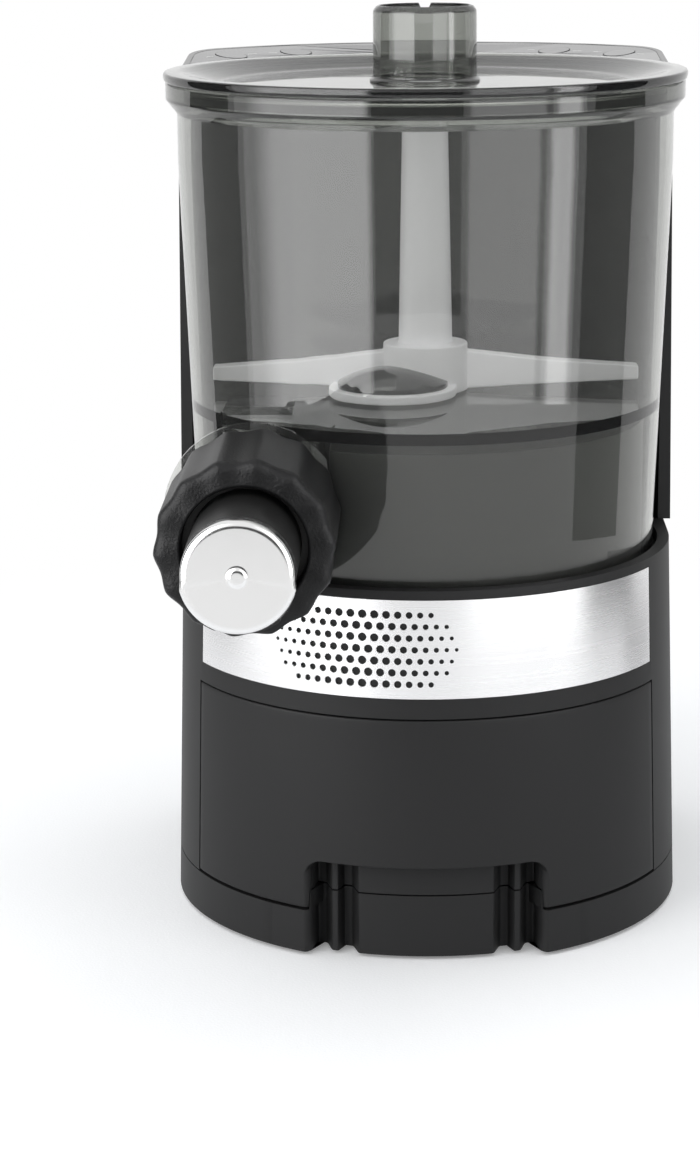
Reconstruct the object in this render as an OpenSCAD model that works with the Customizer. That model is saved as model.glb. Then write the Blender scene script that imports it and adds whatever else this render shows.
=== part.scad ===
// Electric pasta maker: a motor base with a rear column, a clear mixing bowl with a lid and paddle,
// and a screw extruder at the front left. Millimetres. +Z is up and the front faces -Y. The modules
// draw round the bowl's upright axis, and stand() then brings the middle of the whole machine, at
// the level the feet stand on, to the origin.

/* [Body] */
// How far the body stands out beyond the bowl's lower edge, at the feet
base_margin = 11.2; // [10.6:0.1:13]
// How far the body stands out beyond the bowl's lower edge, at the housing's rim
rim_margin = 6.8; // [6:0.1:7.4]
// How far the column's foot stands out beyond the housing's rim, at each side
column_step = 2.8; // [1:0.1:3.4]
// How far the column's sides stand out beyond the bowl's neck, at its top
column_margin = 1.6; // [0:0.1:3]
// How far the column's top face stands above the lid's flange
column_rise = 2.5; // [1:0.1:6]
// Wall of the moulded casings
wall = 3; // [2:0.1:3.6]
// Height of the seam between the base tray and the housing
tray_height = 18.6; // [14:0.2:20]
// Top of the storage drawer's front
drawer_top = 99; // [92:0.5:102]
// Half of the angle that the storage drawer's front spans
drawer_half_angle = 63.5; // [58:0.5:66]
// Gap between the storage drawer's tray and the gear frame
tray_gap = 10; // [6:0.5:30]
// Gap round the drawer's front
drawer_gap = 0.6; // [0.4:0.1:1]

/* [Trim band] */
// Height of the housing's strip between the drawer and the band
band_gap = 8; // [4:0.2:12]
// Height of the steel band
band_height = 38.4; // [30:0.2:40]
// Half of the angle that the steel band spans
band_half_angle = 62.2; // [50:0.2:64]
// Thickness of the steel band
band_t = 0.9; // [0.6:0.1:1.2]
// Sideways distance between the vent holes
vent_pitch = 4.76; // [4.2:0.02:5.2]
// Radius of the largest vent hole
vent_r_max = 1.65; // [1:0.05:1.8]
// Radius of the smallest vent hole
vent_r_min = 0.7; // [0.5:0.05:0.9]

/* [Bowl] */
// Outer radius of the bowl at its lower edge
bowl_bottom_r = 92.4; // [88:0.2:98]
// How much wider the bowl is at its neck
bowl_flare = 5.6; // [4:0.1:7]
// Wall of the bowl
bowl_wall = 2.5; // [2:0.1:3]
// Height of the bowl's floor above the barrel
floor_rise = 5.6; // [5:0.1:9]
// Thickness of the bowl's floor
floor_t = 4.5; // [3:0.1:4.5]
// How far the bowl's rim stands out from its neck
rim_lip = 4.4; // [3:0.1:6]
// Height of the bowl's rim above its floor
bowl_depth = 124.6; // [110:0.2:140]

/* [Lid] */
// How far the lid stands out beyond the bowl's rim
lid_overhang = 0.8; // [0:0.1:2]
// Thickness of the lid's flange
lid_flange_t = 3.6; // [3:0.1:4]
// Width of the lid's raised ring round its sunk flat
lid_ring = 13.7; // [9:0.1:24]
// Depth of the flat below the flange's top
lid_sink = 4.8; // [3:0.1:6]
// Outer radius of the water inlet
inlet_r = 20.4; // [18:0.1:23]
// Height of the water inlet's mouth above the flange's top
inlet_rise = 26.2; // [16:0.2:28]
// Wall of the water inlet
inlet_wall = 2.6; // [2:0.1:3]

/* [Extruder] */
// How far the auger's axis lies in from the bowl's lower edge
auger_inset = 27.4; // [26:0.2:32]
// Gap between the housing's rim and the barrel above it
barrel_rise = 2.6; // [1:0.1:6]
// Radius of the extrusion barrel's bore
barrel_bore_r = 20; // [18:0.1:22]
// Wall of the extrusion barrel
barrel_wall = 5.4; // [4:0.1:7]
// How far the barrel's mouth stands out in front of the bowl's lower edge
barrel_reach = 42.6; // [36:0.2:50]
// Gap round the auger's flight
auger_gap = 0.6; // [0.4:0.1:2]
// Distance from one turn of the flight to the next
auger_pitch = 24; // [20:1:30]
// Outer radius of the ring nut
nut_r = 33.2; // [32:0.2:34]
// How far the ring nut stands out in front of the barrel's mouth
nut_overhang = 14.4; // [12:0.2:18]
// Gap between the ring nut's face and the shaping die
nut_hole_gap = 2.8; // [2:0.1:4]
// Number of grips round the ring nut
nut_grips = 14; // [9:1:16]
// Depth of each grip's hollow
grip_depth = 1.2; // [0.6:0.1:1.8]
// Radius of each grip's hollow
grip_round = 60; // [30:1:90]
// Radius of the shaping die's body
die_r = 20.2; // [18.6:0.1:20.6]
// How far the steel cap's face stands out in front of the barrel's mouth
die_reach = 55; // [50:0.5:60]
// Radius of each noodle hole
noodle_r = 1.5; // [1:0.1:1.7]

/* [Paddle] */
// Gap between the tip of each arm and the bowl's wall
paddle_gap = 6.2; // [4:0.1:14]
// How far the paddle's post ends below the bowl's rim
post_drop = 14.6; // [13:0.2:40]
// Radius of the post at its top
post_top_r = 10.5; // [8:0.1:11]
// Radius of the post at its foot
post_foot_r = 12.6; // [11:0.1:14]
// Radius of the black kneading pad
pad_r = 22; // [18:0.5:24]

/* [Drive] */
// Module of the transfer and main gears
gear_m = 1.5; // [1.5:0.01:1.52]
// Teeth on the transfer gear
transfer_teeth = 32; // [32:1:32]
// Teeth on the idler
idler_teeth = 34; // [34:1:34]
// Teeth on the auger's gear
auger_teeth = 16; // [16:1:16]
// Teeth on the main gear
main_teeth = 54; // [54:1:54]
// Teeth on the small gear of the reduction cluster
cluster_teeth = 12; // [12:1:12]
// Module of the motor's pinion and its wheel
fine_m = 1; // [1:0.01:1.02]
// Teeth on the large gear of the reduction cluster
wheel_teeth = 60; // [60:1:60]
// Teeth on the motor's pinion
pinion_teeth = 10; // [10:1:10]
// Teeth on the crown gear
crown_teeth = 24; // [24:1:24]
// Teeth on the pinion that drives the crown gear
crown_pinion_teeth = 12; // [12:1:12]
// Radius of the motor's can
motor_r = 29; // [26:0.5:29]
// Radial clearance of a shaft in its bush
running = 0.06; // [0.03:0.01:0.1]

/* [Controls] */
// Radius of each button
button_r = 6.5; // [5:0.1:7.5]
// Travel of each button
button_travel = 0.8; // [0.4:0.1:1.2]
// Height of a button above the panel
button_rise = 0.8; // [0.4:0.1:1.6]
// Distance of the buttons from the cap's edge beside the lid
button_inset = 13; // [11:0.2:15]
// Angles of the buttons from the back, as seen from above
button_angles = [-44, -28, 28, 44];

/* [Hidden] */

$fn = 96;
eps = 0.01;
fit = 0.3;              // clearance between pieces that come apart by hand
charcoal = [0.13, 0.13, 0.13];
smoke = [0.35, 0.36, 0.35, 0.5];
milky = [0.85, 0.84, 0.87];
steel = [0.75, 0.75, 0.76];

// ---- the body's tapered outline ---------------------------------------------------------------
foot_rise = 1.5;        // the base tray stands this far off the worktop
rear_share = 1.343;     // radius of the back's curve, as a share of the half width
rear_centre = 0.044;
corner_share = 0.33;
front_steps = 60;

housing_rim = drawer_top + band_gap + band_height + 3.6;
band_bottom = drawer_top + band_gap;
bowl_top_r = bowl_bottom_r + bowl_flare;
rim_r = bowl_top_r + rim_lip;
lid_r = rim_r + lid_overhang;
barrel_r = barrel_bore_r + barrel_wall;
auger_x = auger_inset - bowl_bottom_r;
auger_z = housing_rim + barrel_rise + barrel_r;
floor_top = auger_z + barrel_r + floor_rise;
rim_top = floor_top + bowl_depth;
lid_bottom = rim_top + fit;
lid_top = lid_bottom + lid_flange_t;
body_height = lid_top + column_rise;
base_half_width = bowl_bottom_r + base_margin;
rim_half_width = bowl_bottom_r + rim_margin;
foot_half_width = rim_half_width + column_step;
top_half_width = bowl_top_r + column_margin;
// The column's back is flatter, so that it meets the housing's back at the rim
column_share = (rear_share + rear_centre) * rim_half_width / foot_half_width - rear_centre;

// Half the width of the housing, and of the column above its rim
function low_width(z) = base_half_width + (rim_half_width - base_half_width) * z / housing_rim;
function column_width(z) = foot_half_width
  + (top_half_width - foot_half_width) * (z - housing_rim) / (body_height - housing_rim);
function half_width(z) = z < housing_rim ? low_width(z) : column_width(z);
function arc(cx, cy, r, from, to, steps) =
  [for (i = [0:steps]) let (a = from + (to - from) * i / steps) [cx + r * cos(a), cy + r * sin(a)]];
function outline(r, inset, share) =
  let (corner = corner_share * r, back = share * r, yc = rear_centre * r,
    cx = r - corner, reach = sqrt(pow(back - corner, 2) - cx * cx), turn = atan2(reach, cx))
  concat(
    arc(0, 0, r - inset, 180, 360, front_steps),
    arc(cx, yc + reach, corner - inset, 0, turn, 9),
    arc(0, yc, back - inset, turn, 180 - turn, 26),
    arc(-cx, yc + reach, corner - inset, 180 - turn, 180, 9));

module block(low, high) {
  translate(low) cube(high - low);
}

// A slice of the housing or the column from one height to another, drawn in by an inset
module body_slice(from, to, inset = 0) {
  upper = (from + to) / 2 > housing_rim;
  low = upper ? column_width(from) : low_width(from);
  high = upper ? column_width(to) : low_width(to);
  translate([0, 0, from]) linear_extrude(to - from, scale = high / low)
    polygon(outline(low, inset, upper ? column_share : rear_share));
}

module body_ring(from, to, outer = 0, inner = wall) {
  difference() {
    body_slice(from, to, outer);
    body_slice(from - 1, to + 1, inner);
  }
}

// The wedge in front of the bowl's axis, to either side by an angle
module front_wedge(angle, from, to) {
  far = 130;
  translate([0, 0, from]) linear_extrude(to - from)
    polygon(concat([[0, 0]], [for (i = [-8:8]) far * [sin(angle * i / 8), -cos(angle * i / 8)]]));
}

module y_rod(x, z, from, to, r, r2 = -1) {
  translate([x, to, z]) rotate([90, 0, 0])
    cylinder(h = to - from, r1 = r2 < 0 ? r : r2, r2 = r);
}

module z_rod(x, y, from, to, r) {
  translate([x, y, from]) cylinder(h = to - from, r = r);
}

// Rectangular bars along Y and Z, centred on their axes
module y_bar(x, z, from, to, across, up) {
  block([x - across / 2, from, z - up / 2], [x + across / 2, to, z + up / 2]);
}

module z_bar(x, y, from, to, across, deep) {
  block([x - across / 2, y - deep / 2, from], [x + across / 2, y + deep / 2, to]);
}

module z_tube(from, to, outer, inner) {
  difference() {
    z_rod(0, 0, from, to, outer);
    z_rod(0, 0, from - 1, to + 1, inner);
  }
}

// ---- where the whole machine stands -----------------------------------------------------------
cap_nose = 0.8;         // the steel cap's middle stands this far off its face
mouth_y = -bowl_bottom_r - barrel_reach;
die_face_y = mouth_y - die_reach;
rear_reach = half_width(foot_rise) * (rear_share + rear_centre);
bowl_y = (cap_nose - die_face_y - rear_reach) / 2;

module stand() {
  translate([0, bowl_y, 0]) children();
}

// ---- where the casings meet -------------------------------------------------------------------
deck_top = housing_rim - 5;
deck_t = 3;
deck_r = half_width(deck_top);
bowl_base = deck_top + fit;
rim_inner_r = bowl_bottom_r + 2;
cap_t = 12;
cap_bottom = body_height - cap_t;
bay_r = bowl_top_r + 1.8;          // the hollow in the column that the bowl stands in
cap_bay_r = lid_r + 1.8;
arm_front = 24;
cover_seam = 60;
tower_r = bowl_bottom_r - 4.4;
tower_top = floor_top - floor_t - 4;
tower_wall = 2.2;
notch_x = auger_x + barrel_r + 3.4;
notch_y = 14;

// ---- where the gears lie ----------------------------------------------------------------------
function pitch_r(m, teeth) = m * teeth / 2;
transfer_r = pitch_r(gear_m, transfer_teeth);
idler_r = pitch_r(gear_m, idler_teeth);
auger_gear_r = pitch_r(gear_m, auger_teeth);
train_length = transfer_r + 2 * idler_r + auger_gear_r;
main_z = auger_z - sqrt(train_length * train_length - auger_x * auger_x);
idler_share = (transfer_r + idler_r) / train_length;
idler_x = auger_x * idler_share;
idler_z = main_z + (auger_z - main_z) * idler_share;
counter_reach = pitch_r(gear_m, main_teeth + cluster_teeth);
counter_angle = -40;
counter_x = counter_reach * cos(counter_angle);
counter_z = main_z + counter_reach * sin(counter_angle);
motor_reach = pitch_r(fine_m, wheel_teeth + pinion_teeth);
motor_angle = -125;
motor_x = counter_x + motor_reach * cos(motor_angle);
motor_z = counter_z + motor_reach * sin(motor_angle);

plate_t = 3;
front_plate_y = 22;
middle_plate_y = 36.5;
motor_plate_y = 62;
train_y = [27, 34];                // the transfer, idler and auger gears
main_y = [42.5, 50];
wheel_y = [52, 57.5];
crown_y = [15, 21];                // the crown gear's teeth, measured from the bowl's axis
motor_y = [motor_plate_y + plate_t + fit, rear_reach - 30.2];
shaft_r = 5;
thin_shaft_r = 4;
motor_shaft_r = 2.5;
bush_wall = 2.6;
crown_pinion_r = pitch_r(gear_m, crown_pinion_teeth);
crown_plane = main_z + crown_pinion_r;

// ---- gears ------------------------------------------------------------------------------------
function inv(a) = tan(a) * 180 / PI - a;
pressure = 20;
backlash = 0.28;

// One flank of an involute tooth, from the root to the tip, as [radius, half angle]
function flank(r, m, half, tip, root) =
  let (base = r * cos(pressure), start = max(base, root), steps = 4)
  concat(root < base ? [[root, half + inv(pressure)]] : [],
    [for (i = [0:steps]) let (rho = start + (tip - start) * i / steps)
      [rho, half + inv(pressure) - inv(acos(min(1, base / rho)))]]);

module gear(m, teeth, width, bore, turn = 0, slack = backlash) {
  r = pitch_r(m, teeth);
  half = 90 / teeth - slack / 2 / r * 180 / PI;
  side = flank(r, m, half, r + 0.85 * m, r - 1.15 * m);
  last = len(side) - 1;
  linear_extrude(width) difference() {
    rotate(turn) polygon([for (t = [0:teeth - 1]) for (k = [0:2 * last + 1])
      let (left = k <= last, p = side[left ? k : 2 * last + 1 - k],
        a = 360 / teeth * t + (left ? -p[1] : p[1])) p[0] * [cos(a), sin(a)]]);
    circle(bore);
  }
}

// A gear whose axis lies along Y. It turns a point at angle 0 to +X and at 90 to +Z.
module y_gear(x, z, y, m, teeth, bore, turn = 0, slack = backlash) {
  translate([x, y[1], z]) rotate([90, 0, 0]) gear(m, teeth, y[1] - y[0], bore, turn, slack);
}

// The turn that puts a gap of one gear where another gear's tooth points, along the line between
function mesh_turn(line, teeth, other_teeth, other_turn) =
  let (tooth = 360 / other_teeth, phase = (line - other_turn) / tooth - round((line - other_turn) / tooth))
  line + 180 + 180 / teeth + phase * 360 / teeth;

module wheel_holes(x, z, r, hole, count, y) {
  for (i = [0:count - 1]) rotate_about_y(x, z, 360 / count * i)
    y_rod(x + r, z, y[0] - 1, y[1] + 1, hole);
}

module rotate_about_y(x, z, angle) {
  translate([x, 0, z]) rotate([0, angle, 0]) translate([-x, 0, -z]) children();
}

line_idler = atan2(auger_z - main_z, auger_x);
idler_turn = mesh_turn(line_idler, idler_teeth, transfer_teeth, 0);
auger_turn = mesh_turn(line_idler, auger_teeth, idler_teeth, idler_turn);
cluster_turn = mesh_turn(counter_angle, cluster_teeth, main_teeth, 0);
pinion_turn = mesh_turn(motor_angle, pinion_teeth, wheel_teeth, 0);

module motor_pinion() {
  color("goldenrod")
    y_gear(motor_x, motor_z, wheel_y + [-0.5, 1], fine_m, pinion_teeth, motor_shaft_r, pinion_turn);
}

module reduction_gear() {
  color("ivory") {
    difference() {
      y_gear(counter_x, counter_z, wheel_y, fine_m, wheel_teeth, thin_shaft_r);
      wheel_holes(counter_x, counter_z, 19, 5, 6, wheel_y);
    }
    y_gear(counter_x, counter_z, [main_y[0] - 1, wheel_y[0]], gear_m, cluster_teeth, thin_shaft_r,
      cluster_turn);
  }
}

module main_gear() {
  color("ivory") difference() {
    y_gear(0, main_z, main_y, gear_m, main_teeth, shaft_r);
    wheel_holes(0, main_z, 25, 8, 6, main_y);
  }
}

module transfer_gear() {
  color("ivory") y_gear(0, main_z, train_y, gear_m, transfer_teeth, shaft_r);
}

module idler_gear() {
  color("ivory") difference() {
    y_gear(idler_x, idler_z, train_y, gear_m, idler_teeth, thin_shaft_r + running, idler_turn);
    wheel_holes(idler_x, idler_z, 15, 4.5, 6, train_y);
  }
}

module auger_gear() {
  color("ivory") y_gear(auger_x, auger_z, train_y, gear_m, auger_teeth, shaft_r, auger_turn);
}

crown_slack = 0.7;
module crown_pinion() {
  turn = 90 + 180 / crown_pinion_teeth;
  color("ivory") y_gear(0, main_z, crown_y, gear_m, crown_pinion_teeth, shaft_r, turn, crown_slack);
}

// A face gear: a disc with wedge teeth that point down at the pinion
module crown_gear() {
  tip = 0.8 * gear_m;
  root = 1.1 * gear_m;
  half = PI * gear_m / 4 - crown_slack / 2;
  low = half - tip * tan(pressure);
  high = half + root * tan(pressure);
  color("ivory") {
    difference() {
      z_rod(0, 0, crown_plane + root, crown_plane + root + 6, crown_y[1]);
      z_rod(0, 0, crown_plane, crown_plane + root + 7, shaft_r);
    }
    for (t = [0:crown_teeth - 1]) rotate(90 + 360 / crown_teeth * t)
      translate([crown_y[0], 0, crown_plane]) rotate([90, 0, 90])
        linear_extrude(crown_y[1] - crown_y[0] - 0.4)
          polygon([[-low, -tip], [low, -tip], [high, root + 0.5], [-high, root + 0.5]]);
  }
}

// ---- shafts, bushes and the gear frame --------------------------------------------------------
motor_shaft_end = motor_y[1] + 12;
module motor_shaft() {
  color(steel) {
    y_rod(motor_x, motor_z, wheel_y[0] - 1.5, motor_shaft_end, motor_shaft_r);
    difference() {
      y_rod(motor_x, motor_z, motor_y[0] + 8, motor_y[1] - 6, motor_r - 5.6);
      y_rod(motor_x, motor_z, motor_y[0] + 7, motor_y[1] - 5, motor_shaft_r + 0.02);
      for (i = [0:9]) rotate_about_y(motor_x, motor_z, 36 * i)
        block([motor_x + 12, motor_y[0] + 7, motor_z - 1.2], [motor_x + 24, motor_y[1] - 5, motor_z + 1.2]);
    }
  }
}

module cooling_fan() {
  hub = 8;
  from = motor_y[1] + 3.5;
  color(charcoal) {
    difference() {
      y_rod(motor_x, motor_z, from, from + 7, hub);
      y_rod(motor_x, motor_z, from - 1, from + 8, motor_shaft_r + 0.02);
    }
    for (i = [0:6]) rotate_about_y(motor_x, motor_z, 360 / 7 * i)
      translate([motor_x + hub - 1, from + 3.5, motor_z]) rotate([35, 0, 0])
        translate([0, -0.7, -5]) cube([15, 1.4, 10]);
  }
}

module counter_shaft() {
  color(steel) y_rod(counter_x, counter_z, middle_plate_y, motor_plate_y + plate_t, thin_shaft_r - 0.02);
}

module main_shaft() {
  color(steel) y_rod(0, main_z, crown_y[0] - 1.5, motor_plate_y + plate_t, shaft_r - 0.02);
}

// The shaft's front end is a cup with a slot that stands upright, so the auger's tongue lifts out
dog_y = [2.6, 12.6];
dog_r = 9;
tongue_t = 5;
module auger_drive_shaft() {
  color(steel) difference() {
    union() {
      y_rod(auger_x, auger_z, dog_y[1] - eps, middle_plate_y + plate_t, shaft_r - 0.02);
      y_rod(auger_x, auger_z, dog_y[0], dog_y[1], dog_r);
    }
    y_bar(auger_x, auger_z, dog_y[0] - 1, dog_y[1] - 3, tongue_t + 2 * fit, 2 * dog_r + 2);
  }
}

coupling_z = tower_top + 2;
coupling_side = 9;
module paddle_drive_shaft() {
  color(steel) {
    z_rod(0, 0, crown_plane + 1.8, coupling_z, shaft_r - 0.02);
    z_bar(0, 0, coupling_z, coupling_z + 7, coupling_side, coupling_side);
  }
}

// Each bush: x, z, the plate it sits in, and its shaft's radius
bushes = [[0, main_z, front_plate_y, shaft_r], [0, main_z, middle_plate_y, shaft_r],
  [0, main_z, motor_plate_y, shaft_r], [auger_x, auger_z, front_plate_y, shaft_r],
  [auger_x, auger_z, middle_plate_y, shaft_r], [counter_x, counter_z, middle_plate_y, thin_shaft_r],
  [counter_x, counter_z, motor_plate_y, thin_shaft_r]];
bracket_z = crown_plane + 14;

module bush_holes() {
  for (b = bushes) y_rod(b[0], b[1], b[2] - 1, b[2] + plate_t + 1, b[3] + bush_wall + 0.02);
}

module shaft_bushes() {
  color("peru") {
    for (b = bushes) difference() {
      y_rod(b[0], b[1], b[2], b[2] + plate_t, b[3] + bush_wall);
      y_rod(b[0], b[1], b[2] - 1, b[2] + plate_t + 1, b[3] + running);
    }
    for (z = [[bracket_z, bracket_z + 4], [tower_top - 8, tower_top - 0.2]]) difference() {
      z_rod(0, 0, z[0], z[1], shaft_r + bush_wall);
      z_rod(0, 0, z[0] - 1, z[1] + 1, shaft_r + running);
    }
  }
}

plate_foot = foot_rise + wall + 0.2;
train_plate = [[-45, plate_foot], [45, plate_foot], [45, main_z + 3], [20, main_z + 33],
  [auger_x + 51, auger_z + 17], [auger_x - 8, auger_z + 17], [auger_x - 8, auger_z - 17],
  [-45, main_z + 11]];
motor_outline = [[-30, plate_foot], [66, plate_foot], [66, main_z - 5], [30, main_z + 21],
  [-30, main_z + 21]];
spacers = [[-38, 16], [38, 16], [auger_x + 45, auger_z + 11]];
motor_spacers = [[-24, 16], [58, 16], [-24, main_z + 15]];

module plate(y, shape, holes) {
  color("silver") difference() {
    translate([0, y + plate_t, 0]) rotate([90, 0, 0]) linear_extrude(plate_t) polygon(shape);
    bush_holes();
    for (h = holes) y_rod(h[0], h[1], y - 1, y + plate_t + 1, 2.1);
  }
}

module gear_plate_front() {
  plate(front_plate_y, train_plate, concat(spacers, [[idler_x, idler_z]]));
}

module gear_plate_middle() {
  plate(middle_plate_y, train_plate, concat(spacers, [[idler_x, idler_z], motor_spacers[0]]));
}

module motor_plate() {
  color("silver") difference() {
    plate(motor_plate_y, motor_outline, motor_spacers);
    y_rod(motor_x, motor_z, motor_plate_y - 1, motor_plate_y + plate_t + 1, 8);
    for (s = [-1, 1]) y_rod(motor_x + s * 14, motor_z, motor_plate_y - 1, motor_plate_y + plate_t + 1, 2);
  }
}

// Spacer tubes with a bolt through each, and the idler's fixed pin
module frame_bolt(x, z, from, to) {
  y_rod(x, z, from - 2.4, from, 3.6);
  y_rod(x, z, from - 0.1, to + 3, 2);
  difference() {
    y_rod(x, z, from + plate_t, to, 4);
    y_rod(x, z, from, to + 1, 2.05);
  }
}

module frame_bolts() {
  color(steel) {
    for (s = spacers) frame_bolt(s[0], s[1], front_plate_y, middle_plate_y);
    for (s = [motor_spacers[0]]) frame_bolt(s[0], s[1], middle_plate_y, motor_plate_y);
    difference() {
      y_rod(idler_x, idler_z, front_plate_y + plate_t, middle_plate_y, thin_shaft_r);
      y_rod(idler_x, idler_z, front_plate_y, middle_plate_y + 1, 1);
    }
    for (s = [-1, 1]) {
      y_rod(motor_x + s * 14, motor_z, motor_plate_y - 2, motor_plate_y, 3.4);
      y_rod(motor_x + s * 14, motor_z, motor_plate_y - 0.1, motor_y[0], 1.9);
    }
  }
}

module shaft_bracket() {
  color("silver") difference() {
    union() {
      block([-13, -13, bracket_z], [13, front_plate_y, bracket_z + 4]);
      block([-13, front_plate_y - 3, bracket_z + 4 - eps], [13, front_plate_y, bracket_z + 12]);
    }
    z_rod(0, 0, bracket_z - 1, bracket_z + 5, shaft_r + bush_wall + 0.02);
  }
}

module motor_can() {
  color("gray") difference() {
    y_rod(motor_x, motor_z, motor_y[0], motor_y[1] - 4, motor_r);
    y_rod(motor_x, motor_z, motor_y[0] + 3, motor_y[1] - 3, motor_r - 5);
    y_rod(motor_x, motor_z, motor_y[0] - 1, motor_y[0] + 4, 6);
  }
}

module motor_end_bell() {
  color(charcoal) difference() {
    y_rod(motor_x, motor_z, motor_y[1] - 4 + 0.02, motor_y[1], motor_r);
    y_rod(motor_x, motor_z, motor_y[1] - 5, motor_y[1] + 1, motor_shaft_r + running);
    for (i = [0:5]) rotate_about_y(motor_x, motor_z, 60 * i)
      y_rod(motor_x + 17, motor_z, motor_y[1] - 5, motor_y[1] + 1, 4);
  }
}

// ---- base tray and feet -----------------------------------------------------------------------
pocket_half = 43;        // the finger recess under the drawer's front
pocket_depth = 10;
pocket_top = 39.5;
tray_pocket_top = 27;
feet = [[-58, -62], [58, -62], [-68, 88], [68, 88]];
tray_bosses = [[-78, -20], [78, -20], [-78, 60], [80, 60]];

module base_tray() {
  front = base_half_width - pocket_depth;
  color(charcoal) difference() {
    union() {
      difference() {
        body_ring(foot_rise, tray_height);
        block([-pocket_half, -130, 0], [pocket_half, -50, 60]);
      }
      body_slice(foot_rise, foot_rise + wall, 0.6);
      // the wall set back behind the finger recess
      intersection() {
        z_tube(foot_rise, tray_pocket_top, front, front - wall);
        block([-pocket_half - 1, -130, 0], [pocket_half + 1, -50, 60]);
      }
      for (s = [-1, 1]) {
        block([s * pocket_half - 1.5, -front_y(pocket_half, tray_height) - 1, foot_rise],
          [s * pocket_half + 1.5, -front + 14.5, tray_height]);
      }
      for (b = tray_bosses) z_rod(b[0], b[1], foot_rise, tray_height + 14, 5);
      for (y = [80, 98]) difference() {
        block([motor_x - 16, y, foot_rise + 1], [motor_x + 16, y + 4, motor_z - 12]);
        y_rod(motor_x, motor_z, y - 1, y + 5, motor_r + 0.2);
      }
      for (x = [-84, 84]) block([x - 1.5, 28, foot_rise], [x + 1.5, 34, tray_height + 6]);
    }
    difference() {
      block([-pocket_half, -130, -1], [pocket_half, -60, 60]);
      z_rod(0, 0, -2, 61, front);
    }
    for (f = feet) z_rod(f[0], f[1], 0, foot_rise + 1, 8.2);
    for (b = tray_bosses) z_rod(b[0], b[1], foot_rise - 1, tray_height + 15, 1.9);
    for (b = tray_bosses) z_rod(b[0], b[1], foot_rise - 1, foot_rise + 2.2, 4);
  }
}

module rubber_feet() {
  color([0.08, 0.08, 0.08]) for (f = feet) z_rod(f[0], f[1], 0, foot_rise + 1, 8);
}

screw_r = 1.8;
screw_head_r = 3.6;
head_t = 2;
module housing_screws() {
  color(steel) {
    for (b = tray_bosses) {
      z_rod(b[0], b[1], foot_rise + 0.2, foot_rise + 0.2 + head_t, screw_head_r);
      z_rod(b[0], b[1], foot_rise + 2.1, tray_height + 10, screw_r);
    }
    for (c = cover_screws) {
      y_rod(c[0], c[1], back_y(c[0], c[1]) - 1.5, back_y(c[0], c[1]) - 1.5 + head_t, screw_head_r);
      y_rod(c[0], c[1], back_y(c[0], c[1]) - 16, back_y(c[0], c[1]) - 1.4, screw_r);
    }
  }
}

// ---- lower housing ----------------------------------------------------------------------------
module notch_area(grow) {
  block([-120, -120, 0], [notch_x + grow, notch_y + grow, 300]);
}

module lower_housing() {
  color(charcoal) difference() {
    union() {
      body_ring(tray_height + 0.4, housing_rim);
      intersection() {
        union() {
          difference() {
            z_rod(0, 0, deck_top - deck_t, deck_top, deck_r);
            difference() {
              z_rod(0, 0, deck_top - 5, deck_top + 1, tower_r - 1.8);
              notch_area(-2);
            }
          }
          z_tube(deck_top - 1, housing_rim, deck_r, rim_inner_r);
        }
        body_slice(tray_height, housing_rim + 1, wall / 2);
      }
      // jambs beside the drawer
      for (s = [-1, 1]) rotate(s * (drawer_half_angle + 1.5))
        translate([-1.5, -half_width(drawer_top) + 2.8, tray_height + 0.4])
          cube([3, 16, drawer_top - tray_height]);
    }
    front_wedge(drawer_half_angle, tray_height - 1, drawer_top);
    // seat of the steel band
    difference() {
      front_wedge(band_half_angle + 0.2, band_bottom - 0.2, band_bottom + band_height + 0.2);
      body_slice(tray_height, housing_rim, band_t + 0.1);
    }
    // air slots behind the motor
    for (i = [-5:5]) block([motor_x + i * 8 - 1.6, 110, 38], [motor_x + i * 8 + 1.6, 160, 84]);
    // power cord's gland
    y_rod(gland_x, gland_z, 90, 160, gland_r + 0.1);
    y_rod(gland_x, gland_z, gland_y[1] - 1, 160, gland_r + 2.7);
  }
}

gland_x = -52;
gland_z = 36;
gland_r = 6;
cord_hole_r = 3.6;
gland_y = [back_y(gland_x, gland_z) - 15.8, back_y(gland_x, gland_z) + 5.2];
module cord_gland() {
  color([0.1, 0.1, 0.1]) difference() {
    union() {
      y_rod(gland_x, gland_z, gland_y[0], gland_y[1], gland_r);
      y_rod(gland_x, gland_z, gland_y[1] - 1, gland_y[1] + 1.5, gland_r + 2.4);
    }
    y_rod(gland_x, gland_z, gland_y[0] - 1, gland_y[1] + 3, cord_hole_r);
  }
}

module drive_tower() {
  color([0.24, 0.24, 0.23]) difference() {
    intersection() {
      z_rod(0, 0, deck_top, tower_top, tower_r);
      difference() {
        z_rod(0, 0, deck_top - 1, tower_top + 1, tower_r + 1);
        notch_area(0);
      }
    }
    difference() {
      z_rod(0, 0, deck_top - 1, tower_top - 2.4, tower_r - tower_wall);
      notch_area(tower_wall);
      z_rod(0, 0, tower_top - 9, tower_top, 12);
    }
    z_rod(0, 0, tower_top - 20, tower_top + 1, shaft_r + bush_wall + 0.02);
    y_rod(auger_x, auger_z, notch_y - 1, notch_y + tower_wall + 1, shaft_r + 1);
  }
}

// ---- steel band with its vent holes -----------------------------------------------------------
vent_centre = -14;      // degrees to the left of the front
vent_half_width = 36.3;
vent_half_height = 21;
vent_row = 4.5;

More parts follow.
